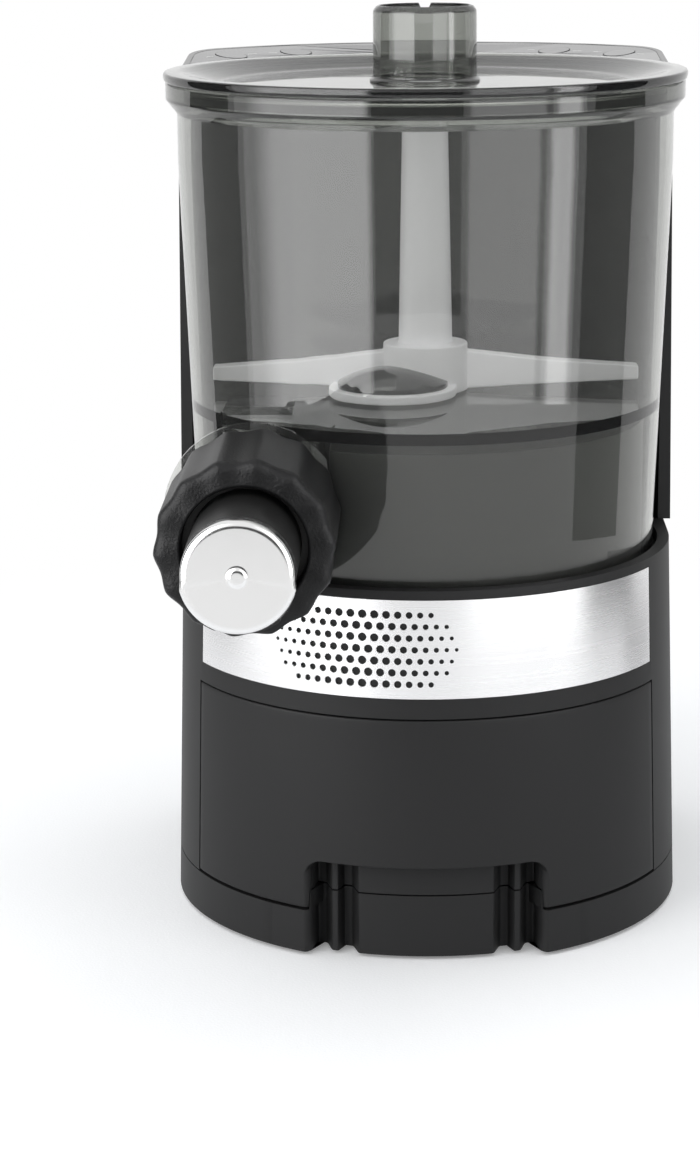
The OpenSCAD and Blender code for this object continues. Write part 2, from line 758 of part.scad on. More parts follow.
module trim_band() {
  r = half_width(band_bottom + band_height / 2);
  color(steel) difference() {
    intersection() {
      body_ring(band_bottom, band_bottom + band_height, 0, band_t);
      front_wedge(band_half_angle, band_bottom, band_bottom + band_height);
    }
    for (row = [-3:3]) for (i = [-9:8]) {
      place = i + (abs(row) % 2 == 1 ? 0 : 0.5);
      s = place * vent_pitch * (1 - 0.0125 * abs(place));
      reach = vent_half_width * sqrt(1 - pow(row * vent_row / vent_half_height, 2));
      if (abs(s) <= reach) {
        size = vent_r_max - (vent_r_max - vent_r_min) * pow(abs(s) / vent_half_width, 1.4);
        rotate(vent_centre + s / r * 180 / PI)
          translate([0, -r + 6, band_bottom + band_height / 2 - row * vent_row])
            rotate([90, 0, 0]) cylinder(h = 12, r = size, $fn = 24);
      }
    }
  }
}

// ---- column -----------------------------------------------------------------------------------
cover_screws = [for (z = [housing_rim + 17, cap_bottom - 29]) for (x = [-52, 52]) [x, z]];
board_low = housing_rim + 29;      // lower edge of the power board
board_y = bay_r + 8.2;
board_screws = [for (z = [board_low + 8, board_low + 78]) for (x = [-40, 40]) [x, z]];
post_r = 4.5;
pad_t = 4;

// Inner face of the column's back wall, at a place across and a height
function back_y(x, z) = rear_centre * half_width(z)
  + sqrt(pow((z < housing_rim ? rear_share : column_share) * half_width(z) - wall, 2) - x * x);

// A place just inside the bay's curved wall, at a place across
function bay_y(x) = sqrt(bay_r * bay_r - x * x) - post_r;

module column_front() {
  color(charcoal) difference() {
    union() {
      intersection() {
        body_ring(housing_rim, cap_bottom);
        block([-120, arm_front, housing_rim - 1], [120, cover_seam, cap_bottom + 1]);
      }
      intersection() {
        body_slice(housing_rim, cap_bottom, wall / 2);
        z_tube(housing_rim, cap_bottom, bay_r + wall, bay_r - 1);
        block([-120, arm_front, housing_rim - 1], [120, 140, cap_bottom + 1]);
      }
      for (c = cover_screws) y_rod(c[0], c[1], bay_y(c[0]), back_y(c[0], c[1]) - pad_t - fit, post_r);
      for (b = board_screws) y_rod(b[0], b[1], bay_y(b[0]), board_y, 3);
    }
    z_rod(0, 0, housing_rim - 1, cap_bottom + 1, bay_r);
    z_rod(0, 0, rim_top - 14, cap_bottom + 1, cap_bay_r - 0.6);
    for (c = cover_screws) y_rod(c[0], c[1], back_y(c[0], c[1]) - 17, 140, screw_r + 0.1);
  }
}

module rear_cover() {
  color(charcoal) difference() {
    union() {
      intersection() {
        body_ring(housing_rim, cap_bottom);
        block([-120, cover_seam + fit, housing_rim - 1], [120, 160, cap_bottom + 1]);
      }
      for (c = cover_screws) let (y = back_y(c[0], c[1])) y_rod(c[0], c[1], y - pad_t, y + 1, post_r + 1.5);
    }
    for (c = cover_screws) {
      y_rod(c[0], c[1], back_y(c[0], c[1]) - pad_t - 1, 160, screw_r + 0.2);
      y_rod(c[0], c[1], back_y(c[0], c[1]) - 1.5, 160, screw_head_r + 0.4);
    }
  }
}

// ---- control panel ----------------------------------------------------------------------------
panel_t = 1.5;
panel_inset = 2.4;
panel_floor = body_height - panel_t;
cap_plate_t = 4;
cap_under = body_height - cap_plate_t;
button_flange_t = 1.4;
button_ring_r = cap_bay_r + button_inset;
button_flange_z = cap_under - fit - button_flange_t;
button_foot = cap_bottom + 3.2;
board_top = cap_bottom - 1.5;
post_angles = [-36, -19, 19, 36];

module at_button(angle) {
  rotate(-angle) translate([0, button_ring_r, 0]) children();
}

module crescent(from, to, inset, bay) {
  difference() {
    body_slice(from, to, inset);
    z_rod(0, 0, from - 1, to + 1, bay);
    block([-130, -130, from - 2], [130, arm_front + inset + 12, to + 2]);
  }
}

module top_cap() {
  color(charcoal) difference() {
    crescent(cap_bottom + 0.02, body_height, 0, cap_bay_r);
    difference() {
      crescent(cap_bottom - 1, cap_under, wall, cap_bay_r + wall);
      for (a = post_angles) at_button(a) z_rod(0, 0, board_top, body_height, 2.5);
    }
    crescent(panel_floor - 0.05, body_height + 1, panel_inset, cap_bay_r + panel_inset);
    for (a = button_angles) at_button(a) z_rod(0, 0, cap_bottom, body_height + 1, button_r + fit);
    block([-17, button_ring_r - 7, cap_bottom], [17, button_ring_r + 7, body_height]);
  }
}

module control_panel() {
  color([0.2, 0.2, 0.2]) difference() {
    crescent(panel_floor, body_height, panel_inset + 0.1, cap_bay_r + panel_inset + 0.1);
    for (a = button_angles) at_button(a) z_rod(0, 0, panel_floor - 1, body_height + 1, button_r + fit);
  }
}

module button(angle) {
  color([0.3, 0.3, 0.3]) at_button(angle) {
    z_rod(0, 0, button_flange_z, body_height + button_rise, button_r);
    z_rod(0, 0, button_flange_z, button_flange_z + button_flange_t, button_r + 1.2);
    z_rod(0, 0, button_foot, button_flange_z + eps, 2.5);
  }
}

module button_power() { button(button_angles[0]); }
module button_program() { button(button_angles[1]); }
module button_time() { button(button_angles[2]); }
module button_start() { button(button_angles[3]); }

// The board under the panel carries a switch below each button and the display
module control_board() {
  color("seagreen") {
    intersection() {
      z_tube(board_top - 1.6, board_top, button_ring_r + 10, cap_bay_r + 5);
      body_slice(board_top - 2, board_top + 1, wall + 1.5);
      block([-92, cover_seam + 6, board_top - 3], [92, 150, board_top + 1]);
    }
  }
  color([0.15, 0.15, 0.15]) {
    for (a = button_angles) at_button(a) {
      block([-3, -3, board_top - 0.1], [3, 3, board_top + 2.4]);
      z_rod(0, 0, board_top + 2.4 - eps, button_foot - button_travel - 0.2, 1.7);
    }
    block([-15, button_ring_r - 6, board_top - 0.1], [15, button_ring_r + 6, panel_floor - 0.1]);
  }
}

module reed_sensor() {
  face = cap_bay_r + wall + 0.1;
  color("seagreen") block([-7, face, cap_bottom + 3], [7, face + 2, cap_bottom + 8]);
}

board_face = board_y + 1.6;
module power_board() {
  color("seagreen") block([-48, board_y, board_low], [48, board_face, board_low + 86]);
  color("dimgray") translate([0, board_face, board_low]) {
    block([-38, 0, 10], [-10, 12.4, 38]);
    y_rod(10, 20, 0, 18.4, 8);
    y_rod(30, 20, 0, 14.4, 6);
    for (i = [0:4]) block([-36 + 7 * i, 0, 50], [-33 + 7 * i, 14.4, 74]);
    block([8, 0, 50], [28, 10.4, 70]);
  }
}

// Each run of the loom, from end to end: board to panel, and board to motor
wire_r = 1.1;
panel_end = [12, board_y + 10, cap_bottom - 3.1];
panel_run = [[34, board_face + wire_r, board_low + 74], [34, board_y + 5, board_low + 90],
  [28, board_y + 7, cap_bottom - 41], [18, board_y + 9, cap_bottom - 23],
  panel_end - [0, 0, 7.9], panel_end];
motor_end = [motor_x - 15, motor_y[1] + wire_r, motor_z + 19];
motor_run = [[-20, board_face + wire_r, board_low + 4], [-20, board_y + 5, board_low - 10],
  [-14, board_y + 8, board_low - 36], motor_end + [-7, 5, 34], motor_end + [-3, 4, 10], motor_end];

function unit(v) = v / norm(v);
function run_frame(pts, i) =
  let (last = len(pts) - 1, d = unit(pts[min(i + 1, last)] - pts[max(i - 1, 0)]),
    side = unit(cross(d, [1, 0.2, 0])))
  [side, cross(d, side)];

// An eight-sided tube along a run's points
module wire(pts, shift) {
  sides = 8;
  rings = len(pts);
  polyhedron(
    [for (i = [0:rings - 1]) let (f = run_frame(pts, i)) for (k = [0:sides - 1])
      pts[i] + [shift, 0, 0] + wire_r * (cos(360 / sides * k) * f[0] + sin(360 / sides * k) * f[1])],
    concat([[for (k = [0:sides - 1]) k]],
      [for (i = [0:rings - 2]) for (k = [0:sides - 1]) let (n = (k + 1) % sides, b = i * sides)
        [b + k, b + sides + k, b + sides + n, b + n]],
      [[for (k = [0:sides - 1]) (rings - 1) * sides + sides - 1 - k]]));
}

module wiring_loom() {
  for (shift = [-1.4, 1.4]) {
    color("firebrick") wire(panel_run, shift);
    color("royalblue") wire(motor_run, shift);
  }
}

// ---- storage drawer ---------------------------------------------------------------------------
// How far forward the drawer front's inner face lies, at a place across and a height
function front_y(x, z) = sqrt(pow(half_width(z) - wall, 2) - x * x);

tray_half = 60;
tray_front = 1.4 - front_y(tray_half, drawer_top);
tray_back = front_plate_y - tray_gap;
tray_floor_z = tray_pocket_top + 1;
tray_wall = 2;
tray_lip = drawer_top - 8;

module drawer_front() {
  set_back = half_width(pocket_top) - pocket_depth - 0.5;
  color(charcoal) union() {
    difference() {
      intersection() {
        body_ring(tray_height + drawer_gap + 0.4, drawer_top - drawer_gap);
        front_wedge(drawer_half_angle - 0.35, tray_height, drawer_top);
      }
      block([-pocket_half, -130, 0], [pocket_half, -50, pocket_top - 8]);
      for (s = [-1, 1]) translate([s * (pocket_half - 8), 0, pocket_top - 8])
        rotate([90, 0, 0]) cylinder(h = 130, r = 8);
      block([-pocket_half + 8, -130, 0], [pocket_half - 8, -50, pocket_top]);
    }
    // wall set back behind the finger recess, with a rib at each side
    intersection() {
      z_tube(tray_pocket_top + drawer_gap, pocket_top + 12, set_back, set_back - 2.4);
      block([-pocket_half - 4, -130, 0], [pocket_half + 4, -50, 60]);
    }
    intersection() {
      z_tube(pocket_top + 9, pocket_top + 12, half_width(pocket_top) - 1.5, set_back - 1);
      block([-pocket_half - 4, -130, 0], [pocket_half + 4, -50, 60]);
    }
    for (s = [-1, 1]) {
      intersection() {
        block([s * (pocket_half + 2.5) - 1.5, -half_width(0), tray_height + drawer_gap + 0.4],
          [s * (pocket_half + 2.5) + 1.5, tray_front, pocket_top + 12]);
        body_slice(tray_height, drawer_top, 1);
      }
      z_bar(s * 35, -sqrt(set_back * set_back - 35 * 35) - 0.4, tray_pocket_top + drawer_gap,
        pocket_top + 9.5, 1.6, 10);
    }
    for (s = [-1, 1]) block([s * 50 - 4, -front_y(54, drawer_top) - 2.4, pocket_top + 12.5],
      [s * 50 + 4, tray_front, drawer_top - 17]);
  }
}

module drawer_tray() {
  color([0.2, 0.2, 0.2]) difference() {
    block([-tray_half, tray_front, tray_floor_z], [tray_half, tray_back, tray_lip]);
    block([-tray_half + tray_wall, tray_front + tray_wall, tray_floor_z + tray_wall],
      [tray_half - tray_wall, tray_back - tray_wall, tray_lip + 1]);
  }
}

runner_lip = 4;         // the tray's edge rests on this much of a runner
runner_t = 6;
runner_y = [8 - front_y(tray_half + fit + runner_t, tray_height), tray_back - 2];

module drawer_runners() {
  color([0.2, 0.2, 0.2]) for (s = [0, 1]) mirror([s, 0, 0]) difference() {
    block([tray_half - runner_lip, runner_y[0], foot_rise + wall + 0.02],
      [tray_half + fit + runner_t, runner_y[1], tray_floor_z + 12]);
    block([tray_half - runner_lip - 1, runner_y[0] - 1, tray_floor_z - 0.2],
      [tray_half + fit, runner_y[1] + 1, tray_floor_z + 13]);
  }
}

// ---- mixing bowl ------------------------------------------------------------------------------
floor_bottom = floor_top - floor_t;
neck_z = rim_top - 30.6;
boss_r = 13;
boss_top = floor_top + 8;
barrel_back = 0;
barrel_end_wall = 4;
trough = [[auger_x - 13.5, -52], [auger_x + 13.5, -10]];
collar_y = 8.4 - bowl_bottom_r;
function bowl_r(z) = z >= neck_z ? bowl_top_r
  : bowl_bottom_r + (bowl_top_r - bowl_bottom_r) * (z - bowl_base) / (neck_z - bowl_base);

// The way down from the bowl's floor to the auger
module trough_block(from, to, grow) {
  block([trough[0][0] - grow, trough[0][1] - grow, from], [trough[1][0] + grow, trough[1][1] + grow, to]);
}

module bowl_inside(from, to) {
  rotate_extrude() polygon([[0, from], [bowl_r(from) - bowl_wall, from],
    if (from < neck_z && to > neck_z) [bowl_top_r - bowl_wall, neck_z],
    [bowl_r(to) - bowl_wall, to], [0, to]]);
}

module mixing_bowl() {
  color(smoke) difference() {
    union() {
      rotate_extrude() polygon([[0, bowl_base], [bowl_r(bowl_base), bowl_base], [bowl_top_r, neck_z],
        [bowl_top_r, rim_top - 12], [rim_r - 0.8, rim_top - 7.5], [rim_r, rim_top - 6.4],
        [rim_r, rim_top - 0.6], [rim_r - 0.6, rim_top], [0, rim_top]]);
      y_rod(auger_x, auger_z, mouth_y, barrel_back, barrel_r);
      difference() {
        y_rod(auger_x, auger_z, collar_y - 2.6, collar_y, nut_r + 1);
        z_rod(0, 0, 100, housing_rim + fit, half_width(band_bottom) + fit);
      }
    }
    bowl_inside(floor_top, rim_top + 1);
    difference() {
      bowl_inside(bowl_base - 1, floor_bottom);
      y_rod(auger_x, auger_z, mouth_y, barrel_back, barrel_r);
      trough_block(auger_z, floor_bottom + 1, 3);
    }
    y_rod(auger_x, auger_z, mouth_y - 1, barrel_back - barrel_end_wall, barrel_bore_r);
    y_rod(auger_x, auger_z, barrel_back - barrel_end_wall - 1, barrel_back + 1, spindle_r + 2);
    trough_block(auger_z, floor_top + 1, 0);
    z_rod(0, 0, floor_bottom - 1, floor_top + 1, boss_r - 2.5);
  }
  // raised boss over the paddle's coupling
  color(smoke) difference() {
    z_rod(0, 0, floor_bottom, boss_top, boss_r);
    z_rod(0, 0, floor_bottom - 1, boss_top - 3, boss_r - 2.5 - eps);
    z_rod(0, 0, boss_top - 4, boss_top + 1, spindle_r + 2);
  }
}

spindle_r = 4;
module spindle_seals() {
  color([0.1, 0.1, 0.1]) {
    difference() {
      z_rod(0, 0, boss_top - 3, boss_top, spindle_r + 1.98);
      z_rod(0, 0, boss_top - 4, boss_top + 1, spindle_r + running);
    }
    difference() {
      y_rod(auger_x, auger_z, barrel_back - barrel_end_wall, barrel_back, spindle_r + 1.98);
      y_rod(auger_x, auger_z, barrel_back - barrel_end_wall - 1, barrel_back + 1, spindle_r + running);
    }
  }
}

// The coupling under the bowl's floor, whose shaft carries the paddle
hub_square = 7;
module paddle_spindle() {
  color(steel) {
    difference() {
      z_rod(0, 0, coupling_z + 0.6, boss_top - 3.4, boss_r - 3.2);
      z_bar(0, 0, coupling_z - 1, coupling_z + 8.5, coupling_side + 2 * fit, coupling_side + 2 * fit);
    }
    z_rod(0, 0, boss_top - 3.5, boss_top + 0.5, spindle_r);
    z_bar(0, 0, boss_top + 0.4, boss_top + 11, hub_square, hub_square);
  }
}

// ---- paddle -----------------------------------------------------------------------------------
hub_r = 17;
hub_bottom = floor_top + 0.8;
hub_top = boss_top + 12;
pad_centre = [-13, -13];
arm_low = floor_top + 5;
paddle_arm = bowl_r(floor_top) - bowl_wall - paddle_gap;
post_top = rim_top - post_drop;
arm_width = 8;

module paddle() {
  color(milky) difference() {
    union() {
      z_rod(0, 0, hub_bottom, hub_top, hub_r);
      translate([0, 0, hub_top - eps]) cylinder(h = post_top - hub_top, r1 = post_foot_r, r2 = post_top_r);
      for (s = [0, 180]) rotate(s) translate([0, arm_width / 2, 0]) rotate([90, 0, 0])
        linear_extrude(arm_width) polygon([[hub_r - 3, hub_bottom + 0.6], [40, arm_low - 2],
          [paddle_arm, arm_low], [paddle_arm, arm_low + 5.5], [50, arm_low + 8],
          [hub_r - 3, hub_top - 3]]);
      z_rod(pad_centre[0], pad_centre[1], hub_bottom, hub_bottom + 3.6, pad_r + 3.5);
    }
    z_rod(0, 0, hub_bottom - 1, boss_top + 0.8, boss_r + 0.8);
    z_bar(0, 0, boss_top, boss_top + 12, hub_square + 0.4, hub_square + 0.4);
  }
}

module kneading_pad() {
  dome_r = 46;
  from = hub_bottom + 3.62;
  color([0.05, 0.05, 0.06]) difference() {
    intersection() {
      z_rod(pad_centre[0], pad_centre[1], from, from + 12, pad_r);
      translate([pad_centre[0], pad_centre[1], from + 7.5 - dome_r]) sphere(dome_r);
    }
    z_rod(0, 0, from - 1, from + 13, hub_r + 0.1);
    block([-60, -arm_width / 2 - 0.1, from - 1], [60, 60, from + 13]);
  }
}

// ---- lid --------------------------------------------------------------------------------------
sink_top = lid_top - lid_sink;
lid_t = 2.4;
plug_r = bowl_top_r - bowl_wall - 0.8;
lid_sink_r = plug_r - lid_ring;
neck_r = inlet_r - 2.4;
magnet_r = 2.8;
magnet_at = (plug_r + lid_r) / 2 + 0.6;

module lid() {
  color(smoke) difference() {
    rotate_extrude() polygon([[neck_r + 0.05, sink_top - lid_t], [lid_sink_r + 2, sink_top - lid_t],
      [plug_r - 4, lid_bottom - 2], [plug_r - 2, lid_bottom - 9], [plug_r, lid_bottom - 9],
      [plug_r, lid_bottom],
      [lid_r - 0.5, lid_bottom], [lid_r, lid_bottom + 0.5], [lid_r, lid_top - 1.4], [lid_r - 1.4, lid_top],
      [lid_r - 7, lid_top], [lid_sink_r, sink_top], [neck_r + 0.05, sink_top]]);
    z_rod(0, magnet_at, lid_bottom - 1, lid_bottom + 2.2, magnet_r + 0.05);
    z_tube(lid_bottom - 6.6, lid_bottom - 3.4, plug_r + 1, plug_r - 0.8);
  }
}

module lid_gasket() {
  color([0.12, 0.12, 0.12]) z_tube(lid_bottom - 6.5, lid_bottom - 3.5, plug_r + 0.5, plug_r - 0.75);
}

module lid_magnet() {
  color("gray") z_rod(0, magnet_at, lid_bottom + 0.1, lid_bottom + 2.1, magnet_r);
}

module water_inlet() {
  top = lid_top + inlet_rise;
  chamfer = 1.6;
  color(smoke) difference() {
    rotate_extrude() polygon([[inlet_r - inlet_wall, sink_top - 10], [neck_r, sink_top - 10],
      [neck_r, sink_top],
      [inlet_r + 1.4, sink_top], [inlet_r + 1.4, sink_top + 0.8], [inlet_r + 0.4, sink_top + 1.8],
      [inlet_r, top - 3.4], [inlet_r - chamfer, top], [inlet_r - inlet_wall, top]]);
    translate([0, inlet_r - 1, top]) rotate([90, 0, 0]) cylinder(h = 6, r = 2.4, center = true, $fn = 32);
  }
}

// ---- extruder ---------------------------------------------------------------------------------
auger_r = barrel_bore_r - auger_gap;
auger_end = mouth_y + 3;
auger_start = barrel_back - barrel_end_wall - 1.5;
nose_square = 9;
nose_end = auger_start - 34;

module auger_spindle() {
  color(steel) {
    y_rod(auger_x, auger_z, auger_start, barrel_back + 1.4, spindle_r);
    y_bar(auger_x, auger_z, nose_end, auger_start + eps, nose_square, nose_square);
    y_bar(auger_x, auger_z, barrel_back + 1.2, dog_y[1] - 3.4, tongue_t, 13);
  }
}

// Core and flight of the screw; the flight is a thin blade twisted along the axis
module auger() {
  length = auger_start - 0.4 - auger_end;
  core = 8.2;
  blade = 26;          // degrees that the flight's root spans
  color(milky) difference() {
    translate([auger_x, auger_start - 0.4, auger_z]) rotate([90, 0, 0])
      linear_extrude(length, twist = 360 * length / auger_pitch, slices = 110, $fn = 12)
        polygon(concat(
          [for (a = [blade:(360 - 2 * blade) / 14:360 - blade]) core * [cos(a), sin(a)]],
          [[core + 2.5, -2.6], [auger_r, -1.9], [auger_r + 0.02, 0], [auger_r, 1.9], [core + 2.5, 2.6]]));
    y_bar(auger_x, auger_z, nose_end - 1, auger_start + 1, nose_square + 0.4, nose_square + 0.4);
  }
}

die_flange_t = 3;
die_flange_y = mouth_y - fit;
cap_t_steel = 7;
die_back_y = die_face_y + cap_t_steel;
die_bore_r = die_r - 2.8;
nut_hole_r = die_r + nut_hole_gap;
window_y = [die_face_y + 10, die_face_y + 34];
window_half = 12;
window_wall = 2.5;
plate_drop = 0.6;       // the plate's lower face lies this far below the die's body
plate_thick = 3;

module window_block(grow, from, to) {
  block([auger_x - window_half - grow, window_y[0] - grow, auger_z - from],
    [auger_x + window_half + grow, window_y[1] + grow, auger_z - to]);
}

module die_body() {
  color([0.09, 0.09, 0.09]) difference() {
    union() {
      y_rod(auger_x, auger_z, die_flange_y - die_flange_t, die_flange_y, barrel_r + 0.2);
      y_rod(auger_x, auger_z, die_back_y + 0.02, die_flange_y - 1, die_r);
      intersection() {
        window_block(window_wall, die_r + plate_drop, 10);
        y_rod(auger_x, auger_z, die_back_y + 0.02, window_y[1] + 4, nut_hole_r - 0.4);
      }
    }
    y_rod(auger_x, auger_z, die_back_y + 3, die_flange_y + 1, die_bore_r);
    window_block(0, die_r + 2, 8);
  }
}

module die_plate() {
  rows = 4;
  columns = 6;
  edge = 2.5 + 1.5;     // from the plate's edge to the middle of the first hole
  step_x = 2 * (window_half - edge + noodle_r) / (columns - 1);
  step_y = (window_y[1] - window_y[0] - 2 * edge) / (rows - 1);
  bottom = auger_z - die_r - plate_drop;
  color(steel) difference() {
    intersection() {
      window_block(-0.02, die_r + plate_drop, die_r + plate_drop - plate_thick);
      y_rod(auger_x, auger_z, window_y[0], window_y[1], nut_hole_r - 0.4);
    }
    for (i = [0:columns - 1]) for (j = [0:rows - 1])
      z_rod(auger_x + step_x * (i - (columns - 1) / 2), window_y[0] + edge + step_y * j,
        bottom - 1, bottom + plate_thick + 1, noodle_r);
  }
}

// The closed steel cap. Its lower edge stands out as a lip that hides the noodle holes.
module die_cap() {
  round = 2.6;
  r = die_r - 0.2;
  lip = 0.8;
  face = -die_face_y;
  color(steel) translate([auger_x, 0, auger_z]) rotate([90, 0, 0]) {
    rotate_extrude() polygon(concat([[0, -die_back_y], [r, -die_back_y]],
      arc(r - round, face - round, round, 0, 90, 6),
      [[4.6, face], [4, face + cap_nose - 0.1], [0, face + cap_nose]]));
    rotate(194) rotate_extrude(angle = 152) polygon(concat([[r - 1, -die_back_y], [r + lip, -die_back_y]],
      arc(r + lip - round, face - round - 0.3, round, 0, 80, 5), [[r - 5, face - 0.5]]));
  }
}

nut_back = collar_y - 2.6 - fit - 0.5;
nut_front = mouth_y - nut_overhang;
nut_phase = 4;          // degrees the grips have turned past the straight when the nut is tight
module ring_nut() {
  round = 4;
  shoulder = -die_flange_y + die_flange_t + fit;
  color(charcoal) translate([auger_x, 0, auger_z]) rotate([90, 0, 0]) difference() {
    rotate_extrude() polygon(concat(
      [[barrel_r + fit, -nut_back], [nut_r - 2, -nut_back], [nut_r, -nut_back + 2]],
      arc(nut_r - round, -nut_front - round, round, 0, 90, 6),
      [[nut_hole_r + 0.8, -nut_front], [nut_hole_r, -nut_front - 0.8], [nut_hole_r, shoulder],
        [barrel_r + fit, shoulder]]));
    for (i = [0:nut_grips - 1]) rotate(360 / nut_grips * (i + 0.5) + nut_phase)
      translate([nut_r - grip_depth + grip_round, 0, -nut_back - 1])
        cylinder(h = nut_back - nut_front + 2, r = grip_round, $fn = 150);
  }
}

// -----------------------------------------------------------------------------------------------
stand() base_tray();
stand() rubber_feet();
stand() lower_housing();
stand() drive_tower();
stand() trim_band();
stand() column_front();
stand() rear_cover();
stand() top_cap();
stand() control_panel();
stand() control_board();
stand() gear_plate_front();
stand() gear_plate_middle();
stand() motor_plate();
stand() frame_bolts();
stand() shaft_bushes();
stand() shaft_bracket();
stand() motor_can();
stand() motor_end_bell();
stand() drawer_runners();
stand() power_board();
stand() wiring_loom();
stand() cord_gland();
stand() reed_sensor();
stand() housing_screws();
stand() motor_shaft();
stand() motor_pinion();
stand() cooling_fan();
stand() counter_shaft();
stand() reduction_gear();
stand() main_shaft();
stand() main_gear();
stand() transfer_gear();
stand() crown_pinion();
stand() idler_gear();
stand() auger_gear();
stand() auger_drive_shaft();
stand() crown_gear();
stand() paddle_drive_shaft();
stand() mixing_bowl();
stand() spindle_seals();
stand() lid();
stand() water_inlet();
stand() lid_gasket();
stand() lid_magnet();
stand() paddle();
stand() kneading_pad();
stand() paddle_spindle();
stand() auger_spindle();
stand() auger();
stand() die_body();
stand() die_cap();
stand() die_plate();
stand() ring_nut();
stand() drawer_front();
stand() drawer_tray();
stand() button_power();
stand() button_program();
stand() button_time();
stand() button_start();
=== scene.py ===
import math

import bmesh
import bpy
import numpy as np
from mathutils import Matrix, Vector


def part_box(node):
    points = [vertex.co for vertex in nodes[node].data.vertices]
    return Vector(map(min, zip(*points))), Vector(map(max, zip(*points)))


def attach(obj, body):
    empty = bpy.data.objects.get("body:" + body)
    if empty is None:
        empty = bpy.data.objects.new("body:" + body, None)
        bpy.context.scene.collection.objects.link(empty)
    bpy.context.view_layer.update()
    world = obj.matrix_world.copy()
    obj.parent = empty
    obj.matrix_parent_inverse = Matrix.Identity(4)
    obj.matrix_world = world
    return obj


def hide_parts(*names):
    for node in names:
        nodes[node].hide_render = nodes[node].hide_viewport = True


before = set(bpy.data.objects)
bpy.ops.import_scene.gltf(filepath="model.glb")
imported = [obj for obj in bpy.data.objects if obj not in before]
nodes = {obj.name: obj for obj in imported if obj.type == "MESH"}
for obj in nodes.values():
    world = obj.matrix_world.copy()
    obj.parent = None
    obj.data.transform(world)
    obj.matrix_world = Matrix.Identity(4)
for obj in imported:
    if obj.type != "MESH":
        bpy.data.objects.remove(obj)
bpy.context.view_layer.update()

# ---- studio -------------------------------------------------------------------------------------
# The machine stands on pale card in a white room, with soft lamps at the left, right and above.
# Tall bent cards around it, seen only in what shines, put upright bands of light and dark on it.

MM = 0.001


def shader(name):
    """A new node material: returns it, its node tree and its Principled node."""
    material = bpy.data.materials.new(name)
    material.use_nodes = True
    tree = material.node_tree
    return material, tree, tree.nodes["Principled BSDF"]


def wire(tree, source, target):
    """Joins an output to an input."""
    tree.links.new(source, target)


def show(name, mesh, material):
    """Puts a mesh into the scene as an object at the origin, with one material."""
    mesh.materials.clear()
    mesh.materials.append(material)
    obj = bpy.data.objects.new(name, mesh)
    bpy.context.scene.collection.objects.link(obj)
    return obj


def sheet(name, points, around=False, along=False):
    """A mesh over a grid of points: one four-sided face for each cell. With around, each row's
    end joins its start, and with along, the last row joins the first."""
    rows, columns = points.shape[:2]
    index = np.arange(rows * columns).reshape(rows, columns)
    low, high = (index, np.roll(index, -1, 0)) if along else (index[:-1], index[1:])
    if around:
        cells = np.stack([low, np.roll(low, -1, 1), np.roll(high, -1, 1), high], -1)
    else:
        cells = np.stack([low[:, :-1], low[:, 1:], high[:, 1:], high[:, :-1]], -1)
    mesh = bpy.data.meshes.new(name)
    mesh.from_pydata(points.reshape(-1, 3).tolist(), [], cells.reshape(-1, 4).tolist())
    return mesh


def ray_mask(tree):
    """1 for rays from the camera, and for those that a shiny or clear surface sends on."""
    path = tree.nodes.new("ShaderNodeLightPath")
    shiny, seen = (tree.nodes.new("ShaderNodeMath") for _ in range(2))
    shiny.operation = seen.operation = "MAXIMUM"
    wire(tree, path.outputs["Is Glossy Ray"], shiny.inputs[0])
    wire(tree, path.outputs["Is Transmission Ray"], shiny.inputs[1])
    wire(tree, path.outputs["Is Camera Ray"], seen.inputs[0])
    wire(tree, shiny.outputs[0], seen.inputs[1])
    return seen.outputs[0]


scene = bpy.context.scene
scene.view_settings.view_transform = "Standard"

inlet_low, inlet_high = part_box("water_inlet")
AXIS_Y = (inlet_low[1] + inlet_high[1]) / 2       # the bowl's upright axis

world = bpy.data.worlds.new("white_room")
world.use_nodes = True
scene.world = world
room = world.node_tree
room.nodes.clear()
soft, white, choose, out = (room.nodes.new("ShaderNode" + kind) for kind in
                            ("Background", "Background", "MixShader", "OutputWorld"))
soft.inputs["Color"].default_value = (0.95, 0.97, 1.0, 1)
soft.inputs["Strength"].default_value = 0.6
white.inputs["Color"].default_value = (1, 1, 1, 1)
white.inputs["Strength"].default_value = 1.0
wire(room, ray_mask(room), choose.inputs[0])
wire(room, soft.outputs[0], choose.inputs[1])
wire(room, white.outputs[0], choose.inputs[2])
wire(room, choose.outputs[0], out.inputs[0])

camera_data = bpy.data.cameras.new("studio_camera")
camera_data.lens = 88.92
camera_data.sensor_width = 36
camera_data.sensor_fit = "AUTO"
camera = bpy.data.objects.new("studio_camera", camera_data)
camera.location = (0, AXIS_Y - 1.150, 0.416)
camera.rotation_euler = (math.radians(75.93), math.radians(0.45), math.radians(1.44))
scene.collection.objects.link(camera)
scene.camera = camera


def lamp(name, place, aim, power, size, size_y):
    """A soft rectangular lamp at a place that points at another."""
    data = bpy.data.lights.new(name, "AREA")
    data.energy = power
    data.shape = "RECTANGLE"
    data.size, data.size_y = size, size_y
    obj = bpy.data.objects.new(name, data)
    obj.location = place
    obj.rotation_euler = (Vector(aim) - Vector(place)).to_track_quat("-Z", "Y").to_euler()
    obj.visible_glossy = False
    scene.collection.objects.link(obj)


lamp("window_left", (-1.4, -1.3, 1.2), (0, 0, 0.2), 18, 1.2, 1.6)
lamp("window_right", (1.5, -0.7, 0.9), (0, 0, 0.2), 3.5, 0.9, 1.4)
lamp("ceiling", (0, 0.2, 1.9), (0, 0, 0), 14, 1.8, 1.4)


